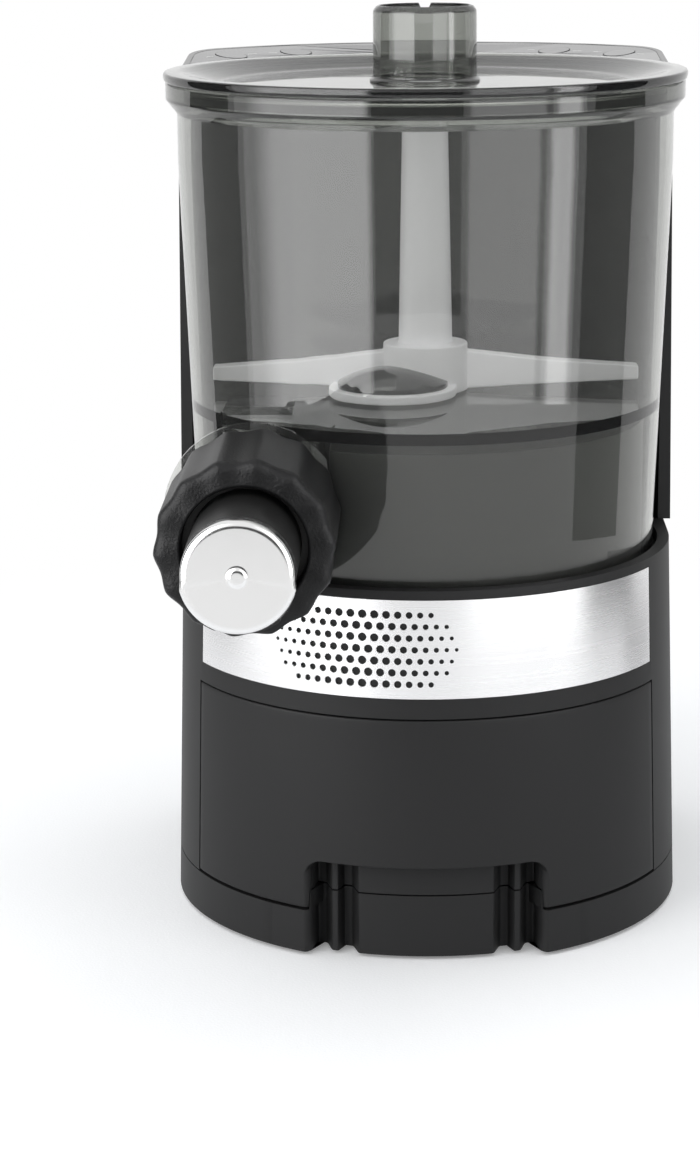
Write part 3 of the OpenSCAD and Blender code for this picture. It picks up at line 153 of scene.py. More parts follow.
def bent_card(name, start, stop, radius, bottom, top, strength, left_fade=0.01, right_fade=0.01):
    """A card bent round the machine: a piece of a cylinder between two angles, counted from the
    front towards the right, and two heights. It shows only in what shines. Its light falls to a
    third over so many degrees at its left and right ends."""
    turns = np.linspace(start, stop, 48)
    angle, up = np.meshgrid(np.radians(turns), np.array([bottom, top]))
    mesh = sheet(name, np.stack([radius * np.sin(angle), AXIS_Y - radius * np.cos(angle), up], -1))
    power = strength * np.clip((turns - start) / left_fade, 0.33, 1)
    power *= np.clip((stop - turns) / right_fade, 0.33, 1)
    mesh.attributes.new("light", "FLOAT", "POINT").data.foreach_set("value", np.tile(power, 2))
    material = bpy.data.materials.new(name)
    material.use_nodes = True
    tree = material.node_tree
    tree.nodes.clear()
    light, glow, end = (tree.nodes.new("ShaderNode" + kind) for kind in (
        "Attribute", "Emission", "OutputMaterial"))
    light.attribute_name = "light"
    wire(tree, light.outputs["Fac"], glow.inputs["Strength"])
    wire(tree, glow.outputs[0], end.inputs["Surface"])
    obj = show(name, mesh, material)
    obj.visible_camera = obj.visible_diffuse = obj.visible_shadow = obj.visible_transmission = False


bent_card("bright_card_left", -84, -22, 0.60, 0.088, 0.8, 5.9, 18, 2)
bent_card("dim_card_front", -21, 15, 0.62, 0.135, 0.33, 0.05)
bent_card("pale_card_right", 16, 51, 0.60, 0.088, 0.8, 3.0, 3, 3)
bent_card("bright_card_right", 52, 68, 0.60, 0.088, 0.8, 6.6, 4, 4)
bent_card("black_card_left", -113, -85, 0.44, 0.055, 0.6, 0.02)
bent_card("black_card_right", 70, 100, 0.44, 0.055, 0.6, 0.02)
bent_card("grey_card_right", 94, 116, 0.43, 0.002, 0.05, 0.45)

# The floor is card near the machine and fades to plain white further out. Only the camera and what
# shines see this fade, and all else gets the light that bare card throws back.
floor = sheet("pale_floor", np.stack([*np.meshgrid([-20, 20], [-20, 20]), np.zeros((2, 2))], -1))
card, tree, face = shader("pale_card")
face.inputs["Base Color"].default_value = (0.86, 0.865, 0.87, 1)
face.inputs["Roughness"].default_value = 0.9
face.inputs["Specular IOR Level"].default_value = 0.1
near, lift, glow, blank, fade, tilt = (tree.nodes.new("ShaderNode" + kind) for kind in (
    "TexCoord", "AddShader", "Emission", "Emission", "MixShader", "MixShader"))
reach, edge, paper = (tree.nodes.new("ShaderNode" + kind) for kind in (
    "VectorMath", "MapRange", "TexNoise"))
grit = tree.nodes.new("ShaderNodeBump")
reach.operation = "LENGTH"
edge.interpolation_type = "SMOOTHSTEP"
edge.inputs["From Min"].default_value = 0.25
edge.inputs["From Max"].default_value = 0.62
glow.inputs["Strength"].default_value = 0.20
blank.inputs["Strength"].default_value = 1.0
paper.inputs["Scale"].default_value = 900
grit.inputs["Distance"].default_value = 0.0001
wire(tree, near.outputs["Object"], reach.inputs[0])
wire(tree, near.outputs["Object"], paper.inputs["Vector"])
wire(tree, paper.outputs["Fac"], grit.inputs["Height"])
wire(tree, grit.outputs["Normal"], face.inputs["Normal"])
wire(tree, reach.outputs["Value"], edge.inputs["Value"])
wire(tree, face.outputs[0], lift.inputs[0])
wire(tree, glow.outputs[0], lift.inputs[1])
wire(tree, edge.outputs["Result"], fade.inputs[0])
wire(tree, lift.outputs[0], fade.inputs[1])
wire(tree, blank.outputs[0], fade.inputs[2])
wire(tree, ray_mask(tree), tilt.inputs[0])
wire(tree, face.outputs[0], tilt.inputs[1])
wire(tree, fade.outputs[0], tilt.inputs[2])
wire(tree, tilt.outputs[0], tree.nodes["Material Output"].inputs["Surface"])
show("pale_floor", floor, card)

# ---- casings ------------------------------------------------------------------------------------
# The housing, the column and its rear cover are injection moulded in one matt charcoal plastic.
# Their skins have a fine spark-eroded grain, and their edges are broken by half a millimetre.


def moulded(name, colour, roughness, grain=2200, depth=0.00004, mottle=0.06, shine=0.5, coat=0.0):
    """A moulded plastic: fine noise raises the surface, and broad noise shifts colour and gloss."""
    material, tree, face = shader(name)
    place = tree.nodes.new("ShaderNodeTexCoord")
    fine, broad = (tree.nodes.new("ShaderNodeTexNoise") for _ in range(2))
    fine.inputs["Scale"].default_value = grain
    fine.inputs["Detail"].default_value = 3
    broad.inputs["Scale"].default_value = 16
    broad.inputs["Detail"].default_value = 5
    tone = tree.nodes.new("ShaderNodeMix")
    tone.data_type = "RGBA"
    tone.inputs["A"].default_value = (*[c * (1 - mottle) for c in colour], 1)
    tone.inputs["B"].default_value = (*[c * (1 + mottle) for c in colour], 1)
    gloss = tree.nodes.new("ShaderNodeMapRange")
    gloss.inputs["To Min"].default_value = max(roughness - 0.05, 0.02)
    gloss.inputs["To Max"].default_value = roughness + 0.05
    bump = tree.nodes.new("ShaderNodeBump")
    bump.inputs["Distance"].default_value = depth
    bump.inputs["Strength"].default_value = 0.6
    face.inputs["Specular IOR Level"].default_value = shine
    for texture in (fine, broad):
        wire(tree, place.outputs["Object"], texture.inputs["Vector"])
    wire(tree, broad.outputs["Fac"], tone.inputs["Factor"])
    wire(tree, tone.outputs["Result"], face.inputs["Base Color"])
    wire(tree, broad.outputs["Fac"], gloss.inputs["Value"])
    wire(tree, gloss.outputs["Result"], face.inputs["Roughness"])
    wire(tree, fine.outputs["Fac"], bump.inputs["Height"])
    wire(tree, bump.outputs["Normal"], face.inputs["Normal"])
    if coat:
        face.inputs["Coat Weight"].default_value = coat
        face.inputs["Coat Roughness"].default_value = 0.06
    return material


def finish(names, material):
    """Gives CAD nodes their material."""
    for name in names:
        nodes[name].data.materials.clear()
        nodes[name].data.materials.append(material)


SHARP = 32                    # edges that turn by more degrees than this are sharp


def smoothed(mesh, angle=SHARP):
    """Shades a mesh smoothly, with its edges sharp past an angle."""
    mesh.shade_smooth()
    mesh.set_sharp_from_angle(angle=math.radians(angle))
    return mesh


def merged(name, angle=SHARP):
    """A copy of a CAD node's mesh with its doubles merged, its flat faces joined, and its edges
    sharp past an angle."""
    mesh = bpy.data.meshes.new("eased_" + name)
    work = bmesh.new()
    work.from_mesh(nodes[name].data)
    bmesh.ops.remove_doubles(work, verts=work.verts, dist=2e-6)
    bmesh.ops.dissolve_limit(work, angle_limit=math.radians(0.4), verts=work.verts, edges=work.edges)
    work.to_mesh(mesh)
    work.free()
    return smoothed(mesh, angle)


def rides(obj, body, slot, *replaced):
    """Says which body a piece rides on and hides the CAD nodes that it stands for. Its slot is not used."""
    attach(obj, body)
    if replaced:
        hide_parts(*replaced)


def eased(name, width, material, body, slot, segments=2, shape=None):
    """A CAD node's merged copy, its edges rounded by a bevel of some width. The shape, if any,
    takes its points as rows of x, y and z, and gives back where they move to."""
    mesh = merged(name)
    if shape:
        points = np.empty(len(mesh.vertices) * 3)
        mesh.vertices.foreach_get("co", points)
        mesh.vertices.foreach_set("co", shape(points.reshape(-1, 3)).ravel())
    obj = show("eased_" + name, mesh, material)
    if width:
        edge = obj.modifiers.new("edges", "BEVEL")
        edge.width = width
        edge.segments = segments
        edge.limit_method = "ANGLE"
        edge.angle_limit = math.radians(SHARP)
        obj.modifiers.new("faces", "WEIGHTED_NORMAL").keep_sharp = False
    rides(obj, body, slot, name)


casing = moulded("casing_plastic", (0.011, 0.011, 0.0113), 0.55, shine=0.25)
for name in ("lower_housing", "column_front", "rear_cover"):
    eased(name, 0.5 * MM, casing, "housing", "body_plastic")

# ---- drawer front and base ----------------------------------------------------------------------
# The tray's front is a curved plate of the same plastic that fills the gap in the housing. A recess
# for the fingers is moulded through its foot and the base below it, with two soft slots at each side.


def ramp(start, stop, value):
    """The smooth step 3s^2 - 2s^3, where s runs from 0 at the start to 1 at the stop."""
    s = np.clip((value - start) / (stop - start), 0, 1)
    return s * s * (3 - 2 * s)


FLOOR_DEEP, FLOOR_SIDES = 7, (41.5, 48)                # its sides rise between these two places
SLOT_DEEP = 7                                          # below the floor
INNER_SLOT, OUTER_SLOT = (30.4, 4.4), (40.8, 4.3)      # each slot's middle and half width
RECESS_TOP, RECESS_ROUND = 39.5, 8                     # its upper edge, and the round at its corners
RECESS_TURN = 0.52                                     # it lies within this angle, in radians


def recess(x, z):
    """How far the finger recess lies behind the skin, in mm. Its floor's sides rise along a smooth
    step, and each side has two deeper slots with a rib between them. Its upper edge turns down on a
    quarter circle at the corners."""
    side = np.abs(x)
    depth = FLOOR_DEEP * (1 - ramp(*FLOOR_SIDES, side))
    for flat, (middle, width) in ((0.3, INNER_SLOT), (0.35, OUTER_SLOT)):
        depth += SLOT_DEEP * (1 - ramp(flat, 1, np.abs(side - middle) / width))
    fall = np.clip((side - FLOOR_SIDES[1]) / RECESS_ROUND + 1, 0, 1)
    edge = RECESS_TOP - RECESS_ROUND * (1 - np.sqrt(1 - fall ** 2))
    return depth * (1 - ramp(edge - 2, edge + 0.2, z))


def eased_rim(distance, size):
    """How far a quarter round of this size draws the skin in, at a distance from its rim."""
    return size * (1 - np.sqrt(1 - np.clip(1 - distance / size, 0, 1) ** 2))


def closed(mesh, distance=1e-6):
    """Merges a mesh's doubles, which closes its seams and poles, and turns its faces outwards."""
    work = bmesh.new()
    work.from_mesh(mesh)
    bmesh.ops.remove_doubles(work, verts=work.verts, dist=distance)
    bmesh.ops.recalc_face_normals(work, faces=work.faces)
    work.to_mesh(mesh)
    work.free()
    return mesh


def swept(name, sections):
    """A solid from closed sections: each section's points join in a loop, loops join to the next,
    and each end closes on its section's middle."""
    middles = np.repeat(sections.mean(axis=1, keepdims=True), sections.shape[1], axis=1)
    points = np.concatenate([middles[:1], sections, middles[-1:]])
    return smoothed(closed(sheet(name, points, around=True)), 38)


def skin_radius(z):
    """The housing's outer radius, which falls from 103.6 mm at the foot to 99.2 at its rim."""
    return 103.6 - 4.4 * z / 149


def arc_points(radius, angle, z, behind=0):
    """Points at a radius, an angle from the front towards the right and a height, moved straight
    back by some way, in metres."""
    return np.stack([radius * np.sin(angle), AXIS_Y / MM - radius * np.cos(angle) + behind, z], -1) * MM


DRAWER_HALF = math.radians(63.15)      # the drawer's front spans this angle to each side
DRAWER_LOW, DRAWER_HIGH = 19.6, 98.4
WALL, THIN_WALL = 2.6, 1.7             # of the drawer's front, and of its part in the recess
EDGE = 0.7                             # the round of its rim
SEAM_RISE, SEAM_HALF = 7, 45.8         # the seam below the drawer steps up in the recess
fine = np.linspace(-RECESS_TURN, RECESS_TURN, 241)
crowd = np.linspace(0, 0.006, 6)       # columns and rows crowd together at the rim, for its round
turns = np.unique(np.concatenate([np.linspace(-DRAWER_HALF, DRAWER_HALF, 61), fine,
                                  DRAWER_HALF - crowd, crowd - DRAWER_HALF]))
rows = np.array([0, 0.08, 0.2, 0.4, EDGE])
levels = np.concatenate([DRAWER_LOW + rows, np.linspace(22, 29, 6), np.linspace(29.5, 41, 48),
                         np.linspace(43, 96, 16), DRAWER_HIGH - rows[::-1]])
angle, z = np.meshgrid(turns, levels, indexing="ij")
across = skin_radius(z) * np.sin(angle)
z = np.maximum(z, DRAWER_LOW + SEAM_RISE * (np.abs(across) < SEAM_HALF))
from_end = np.minimum(z - DRAWER_LOW, DRAWER_HIGH - z)
from_side = (DRAWER_HALF - np.abs(angle)) * 101        # in mm along the skin
rim = np.maximum(eased_rim(from_end, EDGE), eased_rim(from_side, EDGE))
behind = recess(across, z)
inner = skin_radius(z) - np.where(behind > 1, THIN_WALL, WALL)
plate = np.concatenate([arc_points(skin_radius(z) - rim, angle, z, behind),
                        arc_points(inner, angle, z, behind)[:, ::-1]], axis=1)
rides(show("drawer_skin", swept("drawer_skin", plate), casing), "drawer", "body_plastic", "drawer_front")

FOOT_HALF = math.radians(36)           # the base's own front spans this angle to each side
FOOT_LOW, FOOT_HIGH = 1.5, 18.6
BACK = 66.4                            # its straight back lies this far in front of the bowl's axis
turns = np.unique(np.concatenate([np.linspace(-FOOT_HALF, FOOT_HALF, 25), fine]))
levels = np.concatenate([np.linspace(FOOT_LOW, FOOT_HIGH, 10), np.linspace(19.4, 26, 6)])
angle, z = np.meshgrid(turns, levels, indexing="ij")
across = skin_radius(z) * np.sin(angle)
z = np.minimum(z, FOOT_HIGH + (SEAM_RISE + 0.4) * (np.abs(across) < SEAM_HALF - 0.5))
foot = np.concatenate([arc_points(skin_radius(z), angle, z, recess(across, z)),
                       arc_points(BACK / np.cos(angle), angle, z)[:, ::-1]], axis=1)
rides(show("base_skin", swept("base_skin", foot), casing), "housing", "body_plastic")


def before_back(face):
    """Whether a face's middle lies in the wedge that the base's own front fills."""
    middle = face.calc_center_median()
    front = AXIS_Y - middle.y
    return front > BACK * MM and abs(middle.x) < math.tan(FOOT_HALF) * front


tray = merged("base_tray")
work = bmesh.new()
work.from_mesh(tray)
for place, facing in (((0, AXIS_Y, 0), (math.cos(FOOT_HALF), math.sin(FOOT_HALF), 0)),
                      ((0, AXIS_Y, 0), (-math.cos(FOOT_HALF), math.sin(FOOT_HALF), 0)),
                      ((0, AXIS_Y - BACK * MM, 0), (0, 1, 0))):
    bmesh.ops.bisect_plane(work, geom=work.verts[:] + work.edges[:] + work.faces[:], dist=1e-7,
                           plane_co=place, plane_no=facing)
bmesh.ops.delete(work, geom=[face for face in work.faces if before_back(face)], context="FACES")
bmesh.ops.holes_fill(work, edges=[edge for edge in work.edges if len(edge.link_faces) == 1])
work.to_mesh(tray)
work.free()
tray.set_sharp_from_angle(angle=math.radians(SHARP))
rides(show("base_tray_rest", tray, casing), "housing", "body_plastic", "base_tray")

# ---- tower and tray -----------------------------------------------------------------------------
# The drive tower fills the bowl's skirt, a plain moulding in a greyer plastic. The tray and its
# runners behind the drawer front are the same plastic.

tower = moulded("tower_plastic", (0.062, 0.063, 0.058), 0.4, shine=0.4)
eased("drive_tower", 1.0 * MM, tower, "housing", "tower_plastic")
finish(["drawer_tray", "drawer_runners"], tower)

# ---- control panel ------------------------------------------------------------------------------
# A glossy dark acrylic crescent lies in the smooth cap. A display window and short pale dashes
# beside the keys are printed on it, and the four round keys lie almost level with its face.

SLOPE = 4.2                   # how far the panel's inner edge lies below its outer one
SLOPE_START, SLOPE_WIDE = 134, 29     # the circle where it starts, and the way down it
SLOPE_ABOVE = 333             # nothing lower than this tips


def sloped(points):
    """Tips the panel towards the user: a point near the top sinks in proportion to how far it
    lies inside a circle round the bowl's axis."""
    radius = np.hypot(points[..., 0], points[..., 1] - AXIS_Y) / MM
    sink = SLOPE * MM * np.clip((SLOPE_START - radius) / SLOPE_WIDE, 0, 1)
    points[..., 2] -= sink * np.clip((points[..., 2] / MM - SLOPE_ABOVE) / 3, 0, 1)
    return points


cap_plastic = moulded("cap_plastic", (0.012, 0.012, 0.0123), 0.16, depth=0.000006, coat=0.4)
eased("top_cap", 0.5 * MM, cap_plastic, "housing", "body_plastic", shape=sloped)
panel_gloss = moulded("panel_acrylic", (0.05, 0.05, 0.052), 0.16, depth=0.000003, coat=0.5)
eased("control_panel", 0.4 * MM, panel_gloss, "housing", "panel_gloss", shape=sloped)

KEY_RING = 118                # the keys and the prints lie on this circle round the bowl's axis
panel_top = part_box("control_panel")[1][2] / MM


def rounded_plate(name, half_x, half_y, corner, rise, thick, turn):
    """A thin plate on the panel: its rim is a rectangle with round corners, each corner's centre
    plus a circle, carried down by its thickness and turned about the bowl's axis."""
    angle = np.linspace(0, 2 * np.pi, 48, endpoint=False)
    x = np.sign(np.cos(angle)) * (half_x - corner) + corner * np.cos(angle)
    y = np.sign(np.sin(angle)) * (half_y - corner) + corner * np.sin(angle)
    scale = np.array([0.0, 1.0, 1.0, 0.0])[:, None]
    top = panel_top + rise
    height = np.array([top, top, top - thick, top - thick])[:, None] + 0 * angle
    c, s = math.cos(math.radians(turn)), math.sin(math.radians(turn))
    px, py = scale * x, scale * y + KEY_RING
    points = np.stack([px * c + py * s, py * c - px * s + AXIS_Y / MM, height], -1) * MM
    return closed(sheet(name, sloped(points), around=True), 1e-7)


window = moulded("display_window", (0.006, 0.006, 0.008), 0.06, depth=0.000002, coat=1.0)
pane = rounded_plate("display_window", 15, 6, 2, 0.12, 0.3, 0)
rides(show("display_window", pane, window), "housing", "panel_gloss")
pale_ink = moulded("pale_ink", (0.62, 0.62, 0.6), 0.5, depth=0.00001)
for number, turn in enumerate((-50, -38.5, -33.5, -22.5, 22.5, 33.5, 38.5, 50), 1):
    dash = rounded_plate("dash", 2.2, 0.35, 0.3, 0.08, 0.2, turn)
    rides(show("panel_dash_%d" % number, dash, pale_ink), "housing", "panel_gloss")

KEY_SINK = 0.65               # how far a key's face moves down, in mm


def key_shape(points):
    """A key's face sinks almost level with the panel, and then tips with the panel."""
    points[points[:, 2] > points[:, 2].max() - 0.1 * MM, 2] -= KEY_SINK * MM
    return sloped(points)


key_black = moulded("button_plastic", (0.045, 0.045, 0.047), 0.2, depth=0.000004, coat=0.5)
for name in ("power", "program", "time", "start"):
    eased("button_" + name, 0.4 * MM, key_black, name + "_button", "button_plastic", 3, key_shape)

# ---- steel band ---------------------------------------------------------------------------------
# A strip of 0.9 mm stainless steel, rolled to the housing's curve and brushed along its length. Its
# punched holes let the fan's air out.


def metal(name, colour, roughness, stretch=(1, 1, 1), grain=300, depth=0.00001):
    """A metal whose roughness and surface follow fine lines: noise drawn out along two axes."""
    material, tree, face = shader(name)
    place, lay, lines = (tree.nodes.new("ShaderNode" + kind) for kind in (
        "TexCoord", "Mapping", "TexNoise"))
    lay.inputs["Scale"].default_value = stretch
    lines.inputs["Scale"].default_value = grain
    lines.inputs["Detail"].default_value = 4
    gloss, bump = tree.nodes.new("ShaderNodeMapRange"), tree.nodes.new("ShaderNodeBump")
    gloss.inputs["To Min"].default_value = roughness * 0.8
    gloss.inputs["To Max"].default_value = roughness * 1.25
    bump.inputs["Distance"].default_value = depth
    face.inputs["Base Color"].default_value = (*colour, 1)
    face.inputs["Metallic"].default_value = 1
    wire(tree, place.outputs["Object"], lay.inputs["Vector"])
    wire(tree, lay.outputs["Vector"], lines.inputs["Vector"])
    wire(tree, lines.outputs["Fac"], gloss.inputs["Value"])
    wire(tree, gloss.outputs["Result"], face.inputs["Roughness"])
    wire(tree, lines.outputs["Fac"], bump.inputs["Height"])
    wire(tree, bump.outputs["Normal"], face.inputs["Normal"])
    return material


def true_normals(mesh):
    """Turns the shading of upright faces round the bowl's axis to a surface of revolution: each
    corner's normal points away from the axis and keeps its face's slope. Faces further than 6
    degrees from that direction keep their own, and level faces are shaded level."""
    corners = np.empty(len(mesh.loops) * 3)
    mesh.corner_normals.foreach_get("vector", corners)
    corners = corners.reshape(-1, 3)
    points = np.empty(len(mesh.vertices) * 3)
    mesh.vertices.foreach_get("co", points)
    vertex = np.empty(len(mesh.loops), dtype=np.int64)
    mesh.loops.foreach_get("vertex_index", vertex)
    own = np.empty(len(mesh.polygons) * 3)
    mesh.polygons.foreach_get("normal", own)
    total = np.empty(len(mesh.polygons), dtype=np.int64)
    mesh.polygons.foreach_get("loop_total", total)
    own = np.repeat(own.reshape(-1, 3), total, axis=0)
    away = points.reshape(-1, 3)[vertex] - np.array((0, AXIS_Y, 0))
    away[:, 2] = 0
    away /= np.linalg.norm(away, axis=1, keepdims=True) + 1e-12
    level = np.sqrt(np.clip(1 - own[:, 2:] ** 2, 0, 1))
    away = np.where((own[:, :2] * away[:, :2]).sum(1, keepdims=True) < 0, -away, away) * level
    away[:, 2] = own[:, 2]
    near = ((own * away).sum(1) > math.cos(math.radians(6))) & (np.abs(own[:, 2]) < 0.5)
    flat = np.abs(own[:, 2]) > 0.9999
    corners[flat] = own[flat]
    corners[near] = away[near]
    mesh.normals_split_custom_set(corners.tolist())


band_steel = metal("band_steel", (0.80, 0.80, 0.81), 0.26, (0.02, 0.02, 6), depth=0.000004)
band_mesh = merged("trim_band", angle=40)
true_normals(band_mesh)
rides(show("eased_trim_band", band_mesh, band_steel), "housing", "band_steel", "trim_band")

# ---- bowl ---------------------------------------------------------------------------------------
# The bowl, its skirt and the barrel for the auger are one clear moulding, tinted smoke grey. It is
# lowered over the drive tower and lifts off by hand.


def clear(name, tint, density, roughness):
    """A clear plastic that darkens with its thickness, with faint waves from the mould's flow."""
    material, tree, face = shader(name)
    place, swirl, gloss, bump, depth = (tree.nodes.new("ShaderNode" + kind) for kind in (
        "TexCoord", "TexNoise", "MapRange", "Bump", "VolumeAbsorption"))
    depth.inputs["Color"].default_value = (*tint, 1)
    depth.inputs["Density"].default_value = density
    swirl.inputs["Scale"].default_value = 14
    gloss.inputs["To Min"].default_value = roughness * 0.5
    gloss.inputs["To Max"].default_value = roughness * 1.5
    bump.inputs["Distance"].default_value = 0.00012
    bump.inputs["Strength"].default_value = 0.5
    face.inputs["Base Color"].default_value = (0.97, 0.975, 0.965, 1)
    face.inputs["Transmission Weight"].default_value = 0.985
    face.inputs["IOR"].default_value = 1.5
    wire(tree, depth.outputs["Volume"], tree.nodes["Material Output"].inputs["Volume"])
    wire(tree, place.outputs["Object"], swirl.inputs["Vector"])
    wire(tree, swirl.outputs["Fac"], gloss.inputs["Value"])
    wire(tree, gloss.outputs["Result"], face.inputs["Roughness"])
    wire(tree, swirl.outputs["Fac"], bump.inputs["Height"])
    wire(tree, bump.outputs["Normal"], face.inputs["Normal"])
    return material


smoke = clear("smoky_clear", (0.10, 0.12, 0.075), 130, 0.012)
bowl_mesh = merged("mixing_bowl", angle=30)
true_normals(bowl_mesh)
rides(show("clear_mixing_bowl", bowl_mesh, smoke), "bowl", "clear_smoke", "mixing_bowl")

# ---- lid ----------------------------------------------------------------------------------------
# The lid is a clear smoky disc with a sunk middle and a plug that drops into the bowl. The short
# round inlet for water stands in its hole, and has a spout notch at the back of its mouth.


def rounded(corners, steps=5):
    """A closed outline of (radius, height, ease) corners: each corner becomes a curve that leaves
    one side and meets the next at the ease's distance, the blend (1-s)^2 A + 2s(1-s) C + s^2 B."""
    corners = np.array(corners, dtype=float)
    spot = corners[:, :2]
    before, after = np.roll(spot, 1, 0) - spot, np.roll(spot, -1, 0) - spot
    long_in, long_out = (np.linalg.norm(side, axis=1, keepdims=True) for side in (before, after))
    start = spot + before / long_in * np.minimum(corners[:, 2:], 0.45 * long_in)
    stop = spot + after / long_out * np.minimum(corners[:, 2:], 0.45 * long_out)
    s = np.linspace(0, 1, steps)[None, :, None]
    curve = (1 - s) ** 2 * start[:, None] + 2 * s * (1 - s) * spot[:, None] + s ** 2 * stop[:, None]
    return curve.reshape(-1, 2)


def turned(name, outline, steps=192, shape=None, along="z", centre=(0, 0), angle=SHARP):
    """A closed ring turned about an axis: radius r and height h of the outline become
    (r cos t, r sin t, h) for each angle t, and shape may change r and h with t. Along y, the
    height runs to the back and t starts at the right, going up."""
    t = np.linspace(0, 2 * np.pi, steps, endpoint=False)
    r, h, t = outline[:, :1] + 0 * t, outline[:, 1:] + 0 * t, t + 0 * outline[:, :1]
    if shape:
        r, h = shape(r, h, t)
    wide, tall = r * np.cos(t) + centre[0], r * np.sin(t) + centre[1]
    points = np.stack([wide, tall, h] if along == "z" else [wide, h, tall], -1)
    if along == "z":
        points[..., 1] += AXIS_Y / MM
    return smoothed(closed(sheet(name, points * MM, around=True, along=True)), angle)


def turned_piece(name, material, *form, **ways):
    """A turned ring as an object whose shading follows its broad faces."""
    obj = show(name, turned(name, *form, **ways), material)
    obj.modifiers.new("faces", "WEIGHTED_NORMAL").keep_sharp = True
    return obj


lid_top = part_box("lid")[1][2] / MM
low = lid_top - 3.6           # the underside of the rim
sink = lid_top - 4.8          # the sunk middle's face
lid_shape = rounded([(18.45, low - 3.6, 0.3), (83, low - 3.6, 2), (90.7, low - 2, 2), (92.7, low - 9, 0.6),
                     (94.7, low - 9, 0.6), (94.7, low, 0.3), (102.7, low, 0.5), (103.2, low + 1.2, 1),
                     (103.2, lid_top, 1.3), (96.2, lid_top, 1.6), (81, sink, 2.4), (18.45, sink, 0.2)])
rides(turned_piece("clear_lid", smoke, lid_shape), "lid", "clear_smoke", "lid")

dark_smoke = clear("dark_smoky_clear", (0.10, 0.12, 0.075), 250, 0.012)
inlet_r = (inlet_high[0] - inlet_low[0]) / 2 / MM - 1.4
mouth = inlet_high[2] / MM - 1.5
NOTCH_R = 2.4


def notch(r, h, t):
    """Lowers the mouth's rim by a round notch at the back: depth sqrt(R^2 - x^2) below the top."""
    x = r * np.cos(t)
    dip = np.sqrt(np.clip(NOTCH_R ** 2 - x ** 2, 0, None)) * (np.sin(t) > 0)
    return r, np.where(h > mouth - 2.6, np.minimum(h, mouth - dip), h)


inlet_shape = rounded([(inlet_r - 2.6, sink - 10, 0.5), (inlet_r - 2.4, sink - 10, 0.1),
                       (18, sink - 10, 0.4), (18, sink, 0.2),
                       (inlet_r + 1.4, sink, 0.2), (inlet_r + 1.4, sink + 0.8, 0.4),
                       (inlet_r + 0.1, sink + 1.8, 0.6), (inlet_r, mouth - 1.9, 0.9),
                       (inlet_r - 1.6, mouth, 0.8), (inlet_r - 2.6, mouth, 0.4)])
rides(turned_piece("clear_water_inlet", dark_smoke, inlet_shape, shape=notch),
      "lid", "clear_smoke", "water_inlet")

# ---- paddle -------------------------------------------------------------------------------------
# The paddle is moulded in milky nylon: a tall post, a hub, two arms that sweep the bowl's floor,
# and a round seat for the glossy black kneading pad.

HUB_TOP = 228                 # the post stands on the hub from this height up
POST_R, POST_SHARE = 12.7, 0.86


def slimmed(points):
    """The paddle's post, above its hub, drawn in to a share of its radius."""
    radius = np.hypot(points[:, 0], points[:, 1] - AXIS_Y) / MM
    post = (points[:, 2] / MM > HUB_TOP - 0.2) & (radius < POST_R)
    points[post, :2] = (0, AXIS_Y) + (points[post, :2] - (0, AXIS_Y)) * POST_SHARE
    return points


milky = moulded("milky_plastic", (0.90, 0.89, 0.93), 0.32, depth=0.00001, mottle=0.03)
# The milky plastic also glows faintly: a painted glow that brightens the paddle behind the smoky bowl wall.
paddle_glow_face = milky.node_tree.nodes["Principled BSDF"]
paddle_glow_face.inputs["Emission Color"].default_value = (1, 0.99, 1, 1)
paddle_glow_face.inputs["Emission Strength"].default_value = 0.13       # painted glow: the paddle shines faintly by itself, standing in for light through its nylon
eased("paddle", 1.2 * MM, milky, "paddle", "milky_plastic", 3, slimmed)
eased("auger", 0, milky, "auger", "milky_plastic")
pad_black = moulded("pad_black", (0.006, 0.006, 0.007), 0.07, depth=0.000002, coat=0.5)
eased("kneading_pad", 0.8 * MM, pad_black, "paddle", "pad_black", 3)

# ---- ring nut -----------------------------------------------------------------------------------
# The nut that holds the die is matt black nylon, with fourteen shallow hollows round it for grip
# and a broadly rounded front edge round the hole for the die.

cap_low, cap_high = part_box("die_cap")
die_x = (cap_low[0] + cap_high[0]) / 2 / MM
CAP_R = 20.0
die_z = cap_high[2] / MM - CAP_R
nut_low, nut_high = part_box("ring_nut")
nut_front, nut_back = nut_low[1] / MM, nut_high[1] / MM
NUT_R, HOLE_R = 33.2, 23.0
GRIPS, FIRST_GRIP = 14, math.radians(4)


def hollows(r, h, t):
    """Draws the nut's outside in by the hollows: over each grip the radius falls from the ridge by
    0.35 mm along a parabola and by 0.9 mm along a cosine wave. The front edge goes back by half."""
    part = ((t - FIRST_GRIP) * GRIPS / (2 * np.pi)) % 1 - 0.5
    dip = 0.35 * (1 - 4 * part ** 2) + 0.45 * (1 + np.cos(2 * np.pi * part))
    share = np.clip((r - HOLE_R - 1.5) / (NUT_R - 4 - HOLE_R - 1.5), 0, 1)
    return r - share * (dip + 0.1), h + 0.5 * share * dip * (h < nut_front + 6)


nut_shape = rounded([(26, nut_back, 0.4), (NUT_R - 1, nut_back, 1.5), (NUT_R + 0.1, nut_back - 3, 1),
                     (NUT_R + 0.1, nut_front, 4.5), (HOLE_R, nut_front, 1.2), (HOLE_R, nut_front + 11, 0.5),
                     (26, nut_front + 11, 0.3)], steps=9)
nut_black = moulded("nut_black", (0.0075, 0.0075, 0.008), 0.42, grain=1000, depth=0.0004, shine=0.22)
rides(turned_piece("matt_ring_nut", nut_black, nut_shape, 336, hollows, "y", (die_x, die_z), 50),
      "ring_nut", "nut_black", "ring_nut")

# ---- die ----------------------------------------------------------------------------------------
# The die is a black plug that fits the barrel's mouth, closed by a drawn steel cap. The cap's lower
# edge is rolled out over the noodle holes, and a small boss marks its middle.

